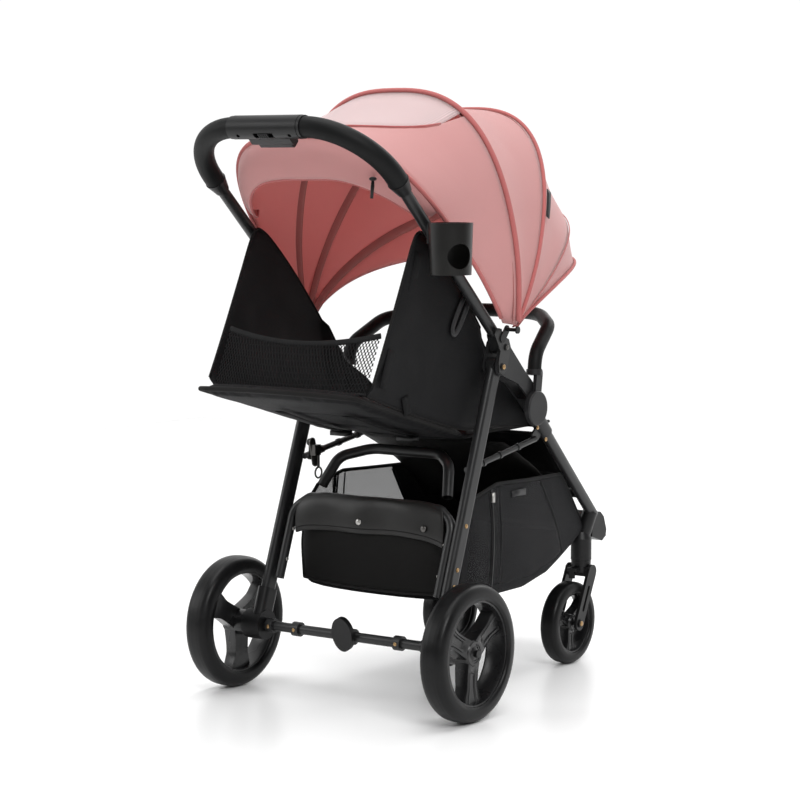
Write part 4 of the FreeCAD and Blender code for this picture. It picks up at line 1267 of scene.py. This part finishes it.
# ---- wheels ---------------------------------------------------------------------------------
def tyre(name, centre, radius, width, inner, body, node):
    """Rounded tyre with two fine mould lines and a shallow centre groove."""
    half = width / 2
    shape = Shape("tyre")
    profile = []
    steps = 44
    for k in range(steps + 1):
        a = math.pi * k / steps
        c, s = math.cos(a), math.sin(a)
        x = half * math.copysign(abs(c) ** 0.62, c)
        r = inner + (radius - inner) * s ** 0.52
        for line in (0.34, -0.34):
            r -= 0.0009 * math.exp(-((x / half - line) / 0.035) ** 2)
        r -= 0.0006 * math.exp(-((x / half) / 0.03) ** 2) if abs(x) < half * 0.2 else 0.0
        profile.append((r, x))
    profile += [(inner - 0.0005, -half * 0.7), (inner - 0.0005, half * 0.7)]
    shape.revolved(profile, centre, "tyre", sides=112)
    return place(shape.piece(name), body, "tyre", node)


def spoke_wheel(name, centre, rim_r, width, hub_r, side, body, node, hub_in, hub_out, cap):
    """Rim with three forked arms that carry raised double ridges, a hub and its cap."""
    half = width / 2
    shape = Shape("rim", "brass")
    lip = 0.0035
    profile = [
        (rim_r, -half * 0.70), (rim_r + 0.0016, -half * 0.86), (rim_r - 0.0012, -half * 0.90),
        (rim_r - lip, -half * 0.86), (rim_r - lip - 0.0016, -half * 0.60), (rim_r - lip - 0.0022, 0.0),
        (rim_r - lip - 0.0016, half * 0.60), (rim_r - lip, half * 0.86), (rim_r - 0.0012, half * 0.90),
        (rim_r + 0.0016, half * 0.86), (rim_r, half * 0.70),
    ]
    shape.revolved(profile, centre, "rim", sides=112)
    reach = rim_r - lip - 0.001
    for k in range(3):
        turn = 2 * math.pi * k / 3 + math.radians(30)

        def spot(radial, sideways, x):
            c, s = math.cos(turn), math.sin(turn)
            return Vector(centre) + Vector((x, radial * c - sideways * s, radial * s + sideways * c))

        steps = 22
        rows = []
        for i in range(steps + 1):
            v = i / steps
            radial = lerp(hub_r * 0.55, reach, v)
            flare = smooth_step((v - 0.55) / 0.45)
            wide = lerp(hub_r * 0.80, reach * 0.20, smooth_step(v / 0.45)) + flare * reach * 0.10
            deep = lerp(half * 0.62, half * 0.50, v)
            dish = half * 0.10 * math.sin(math.pi * v)
            row = []
            ridge = smooth_step((v - 0.16) / 0.22)
            for s, d in ((-1.0, -1.0), (-0.97, 0.55), (-0.88, 0.92), (-0.66, 1.0), (-0.60, 0.88), (-0.54, 1.0),
                         (-0.40, 1.0), (-0.32, 0.80), (0.32, 0.80), (0.40, 1.0), (0.54, 1.0), (0.60, 0.88),
                         (0.66, 1.0), (0.88, 0.92), (0.97, 0.55), (1.0, -1.0)):
                if abs(s) < 0.62:
                    d = lerp(1.0, d, ridge)
                row.append(spot(radial, s * wide, side * (d * deep - dish)))
            rows.append(row)
        shape.grid(rows, "rim", wrap=True, flip=side < 0)
    hub = [(0.0061, hub_in), (hub_r, hub_in), (hub_r, hub_out - 0.003), (hub_r - 0.0025, hub_out),
           (hub_r * 0.72, hub_out), (hub_r * 0.70, hub_out - 0.0012), (0.0061, hub_out - 0.0012)]
    shape.revolved([(r, side * x) for r, x in hub], centre, "rim", sides=64)
    dome = [(0.0006, cap), (hub_r * 0.30, cap - 0.0004), (hub_r * 0.52, cap - 0.0022), (hub_r * 0.62, cap - 0.0052),
            (hub_r * 0.64, hub_out - 0.002), (0.0006, hub_out - 0.002)]
    shape.revolved([(r, side * x) for r, x in dome], centre, "rim", sides=48)
    return place(shape.piece(name), body, "rim_plastic", node)


def wheels():
    for name, s in SIDES:
        low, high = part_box(f"rear_tyre_{name}")
        centre = (low + high) / 2
        radius, width = (high.z - low.z) / 2, high.x - low.x
        tyre(f"rear_tyre_{name}_round", centre, radius, width, 0.0845, f"rear_wheel_{name}", f"rear_tyre_{name}")
        wheel = spoke_wheel(f"rear_wheel_{name}_spokes", centre, 0.0845, width * 0.92, 0.0215, s,
                            f"rear_wheel_{name}", f"rear_rim_{name}", -0.0295, 0.0134, 0.0150)
        flat_shade_edges(wheel, 38)
        low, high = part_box(f"front_tyre_{name}")
        centre = (low + high) / 2
        radius, width = (high.z - low.z) / 2, high.x - low.x
        tyre(f"front_tyre_{name}_round", centre, radius, width, 0.0535, f"front_wheel_{name}", f"front_tyre_{name}")
        wheel = spoke_wheel(f"front_wheel_{name}_spokes", centre, 0.0535, width * 0.90, 0.0145, s,
                            f"front_wheel_{name}", f"front_rim_{name}", -0.0125, 0.0120, 0.0128)
        flat_shade_edges(wheel, 38)


# ---- small hardware -------------------------------------------------------------------------
def hardware():
    rivets = Shape("brass", "dark_steel")
    for s in (1, -1):
        rivets.rivet(at(s * 198.9, -158, 548), (s, 0, 0), 0.0042, 0.0016, "brass")
        rivets.rivet(at(s * 198.9, -168, 579), (s, 0, 0), 0.0040, 0.0014, "dark_steel")
        for y, z in ((-292, 436), (-318, 414)):
            rivets.rivet(at(s * 178.6, y, z), (s, 0, 0), 0.0036, 0.0018, "brass")
    place(rivets.piece("hinge_rivets"), "front_frame", "latch_steel")
    leg = Shape("brass", "trim", "steel")
    low, high = at(0, 3, 110), at(0, -158, 548)
    along = (low - high).normalized()
    for s in (1, -1):
        for distance in (266, 338, 366):
            p = high + along * (distance * MM)
            leg.rivet(Vector((s * 0.1876, p.y, p.z)), (s, 0, 0), 0.0038, 0.0018, "brass")
        for distance in (300, 352):
            p = high + along * (distance * MM)
            leg.rivet(Vector((s * 0.1530, p.y, p.z)), (-s, 0, 0), 0.0032, 0.0016, "steel")
    place(leg.piece("rear_leg_rivets"), "rear_frame", "latch_steel")
    axle = Shape("brass")
    for s in (1, -1):
        axle.rivet(at(s * 157, 11.9, 110), (0, 1, 0), 0.0032, 0.0014, "brass")
        axle.rivet(at(s * 103, 11.9, 110), (0, 1, 0), 0.0032, 0.0014, "brass")
    place(axle.piece("brake_bar_screws"), "brake_bar", "latch_steel")
    for name, s in SIDES:
        bolt = Shape("brass")
        bolt.rivet(at(s * (125 + 16.5 + 3 + 5.5 + 3), -480, 72), (s, 0, 0), 0.0045, 0.0018, "brass")
        bolt.rivet(at(s * (125 - 16.5 - 3 - 5.5 - 3), -480, 72), (-s, 0, 0), 0.0045, 0.0018, "brass")
        place(bolt.piece(f"front_axle_bolt_{name}"), f"caster_{name}", "latch_steel")


# ---- stage, light and camera ----------------------------------------------------------------
def surround(tree):
    """White backdrop before the camera's side, a dimmer room behind it."""
    background = tree.nodes["Background"]
    where = tree.nodes.new("ShaderNodeTexCoord")
    dot = tree.nodes.new("ShaderNodeVectorMath")
    dot.operation = "DOT_PRODUCT"
    dot.inputs[1].default_value = (0.58, -0.81, 0.0)
    ease = tree.nodes.new("ShaderNodeMapRange")
    ease.interpolation_type = "SMOOTHSTEP"
    ease.inputs["From Min"].default_value = -0.35
    ease.inputs["From Max"].default_value = 0.55
    ease.inputs["To Min"].default_value = 0.24
    ease.inputs["To Max"].default_value = 1.03
    tree.links.new(where.outputs["Generated"], dot.inputs[0])
    tree.links.new(dot.outputs["Value"], ease.inputs["Value"])
    tree.links.new(ease.outputs["Result"], background.inputs[1])


def stage():
    floor = bpy.data.meshes.new("floor")
    far = 3.1
    floor.from_pydata([(-far, -far, 0), (far, -far, 0), (far, far, 0), (-far, far, 0)], [], [[0, 1, 2, 3]])
    piece = bpy.data.objects.new("floor", floor)
    SCENE.collection.objects.link(piece)
    m = Nodes("studio_floor", (0.97, 0.97, 0.97), 0.3)
    m.rough(m.noise(1.5, 1.0), 0.29, 0.31)
    floor.materials.append(m.material)
    world = bpy.data.worlds.new("studio")
    SCENE.world = world
    world.use_nodes = True
    world.node_tree.nodes["Background"].inputs[0].default_value = (1, 1, 1, 1)
    surround(world.node_tree)
    SCENE.view_settings.view_transform = "Standard"
    SCENE.view_settings.look = "None"
    for name, where, size, power in (
        ("key", (-3.4, 2.6, 3.8), 2.2, 130), ("fill", (3.4, 3.0, 2.4), 2.2, 50), ("back", (0.5, -3.8, 3.0), 3.0, 60),
        ("over", (0.0, 0.4, 4.8), 3.4, 135),
    ):
        light = bpy.data.lights.new(name, "AREA")
        light.size = size
        light.energy = power
        lamp = bpy.data.objects.new(name, light)
        lamp.location = where
        lamp.rotation_mode = "QUATERNION"
        lamp.rotation_quaternion = (Vector((0, 0, 0.45)) - Vector(where)).to_track_quat("-Z", "Y")
        SCENE.collection.objects.link(lamp)


def camera():
    """Behind the right rear wheel, a little above the handle's height."""
    yaw, pitch, roll = math.radians(35.51), math.radians(5.59), math.radians(-0.06)
    forward = Vector((math.sin(yaw) * math.cos(pitch), -math.cos(yaw) * math.cos(pitch), -math.sin(pitch)))
    right = Vector((-math.cos(yaw), -math.sin(yaw), 0))
    up = right.cross(forward)
    tilted = right * math.cos(roll) + up * math.sin(roll)
    upright = up * math.cos(roll) - right * math.sin(roll)
    data = bpy.data.cameras.new("camera")
    data.sensor_width = 36.0
    data.lens = 2428.46 * 36.0 / 800
    seen = bpy.data.objects.new("camera", data)
    eye = Vector((-2.3329, 3.1222 + AXLE_Y, 0.8772))
    seen.matrix_world = Matrix((
        (tilted.x, upright.x, -forward.x, eye.x),
        (tilted.y, upright.y, -forward.y, eye.y),
        (tilted.z, upright.z, -forward.z, eye.z),
        (0, 0, 0, 1),
    ))
    SCENE.collection.objects.link(seen)
    SCENE.camera = seen


def main():
    camera()
    stage()
    dress_kept_nodes()
    hood()
    seat_cushion()
    seat_back()
    wings()
    rear_net()
    calf()
    harness()
    basket()
    rear_pouch()
    wheels()
    hardware()


main()
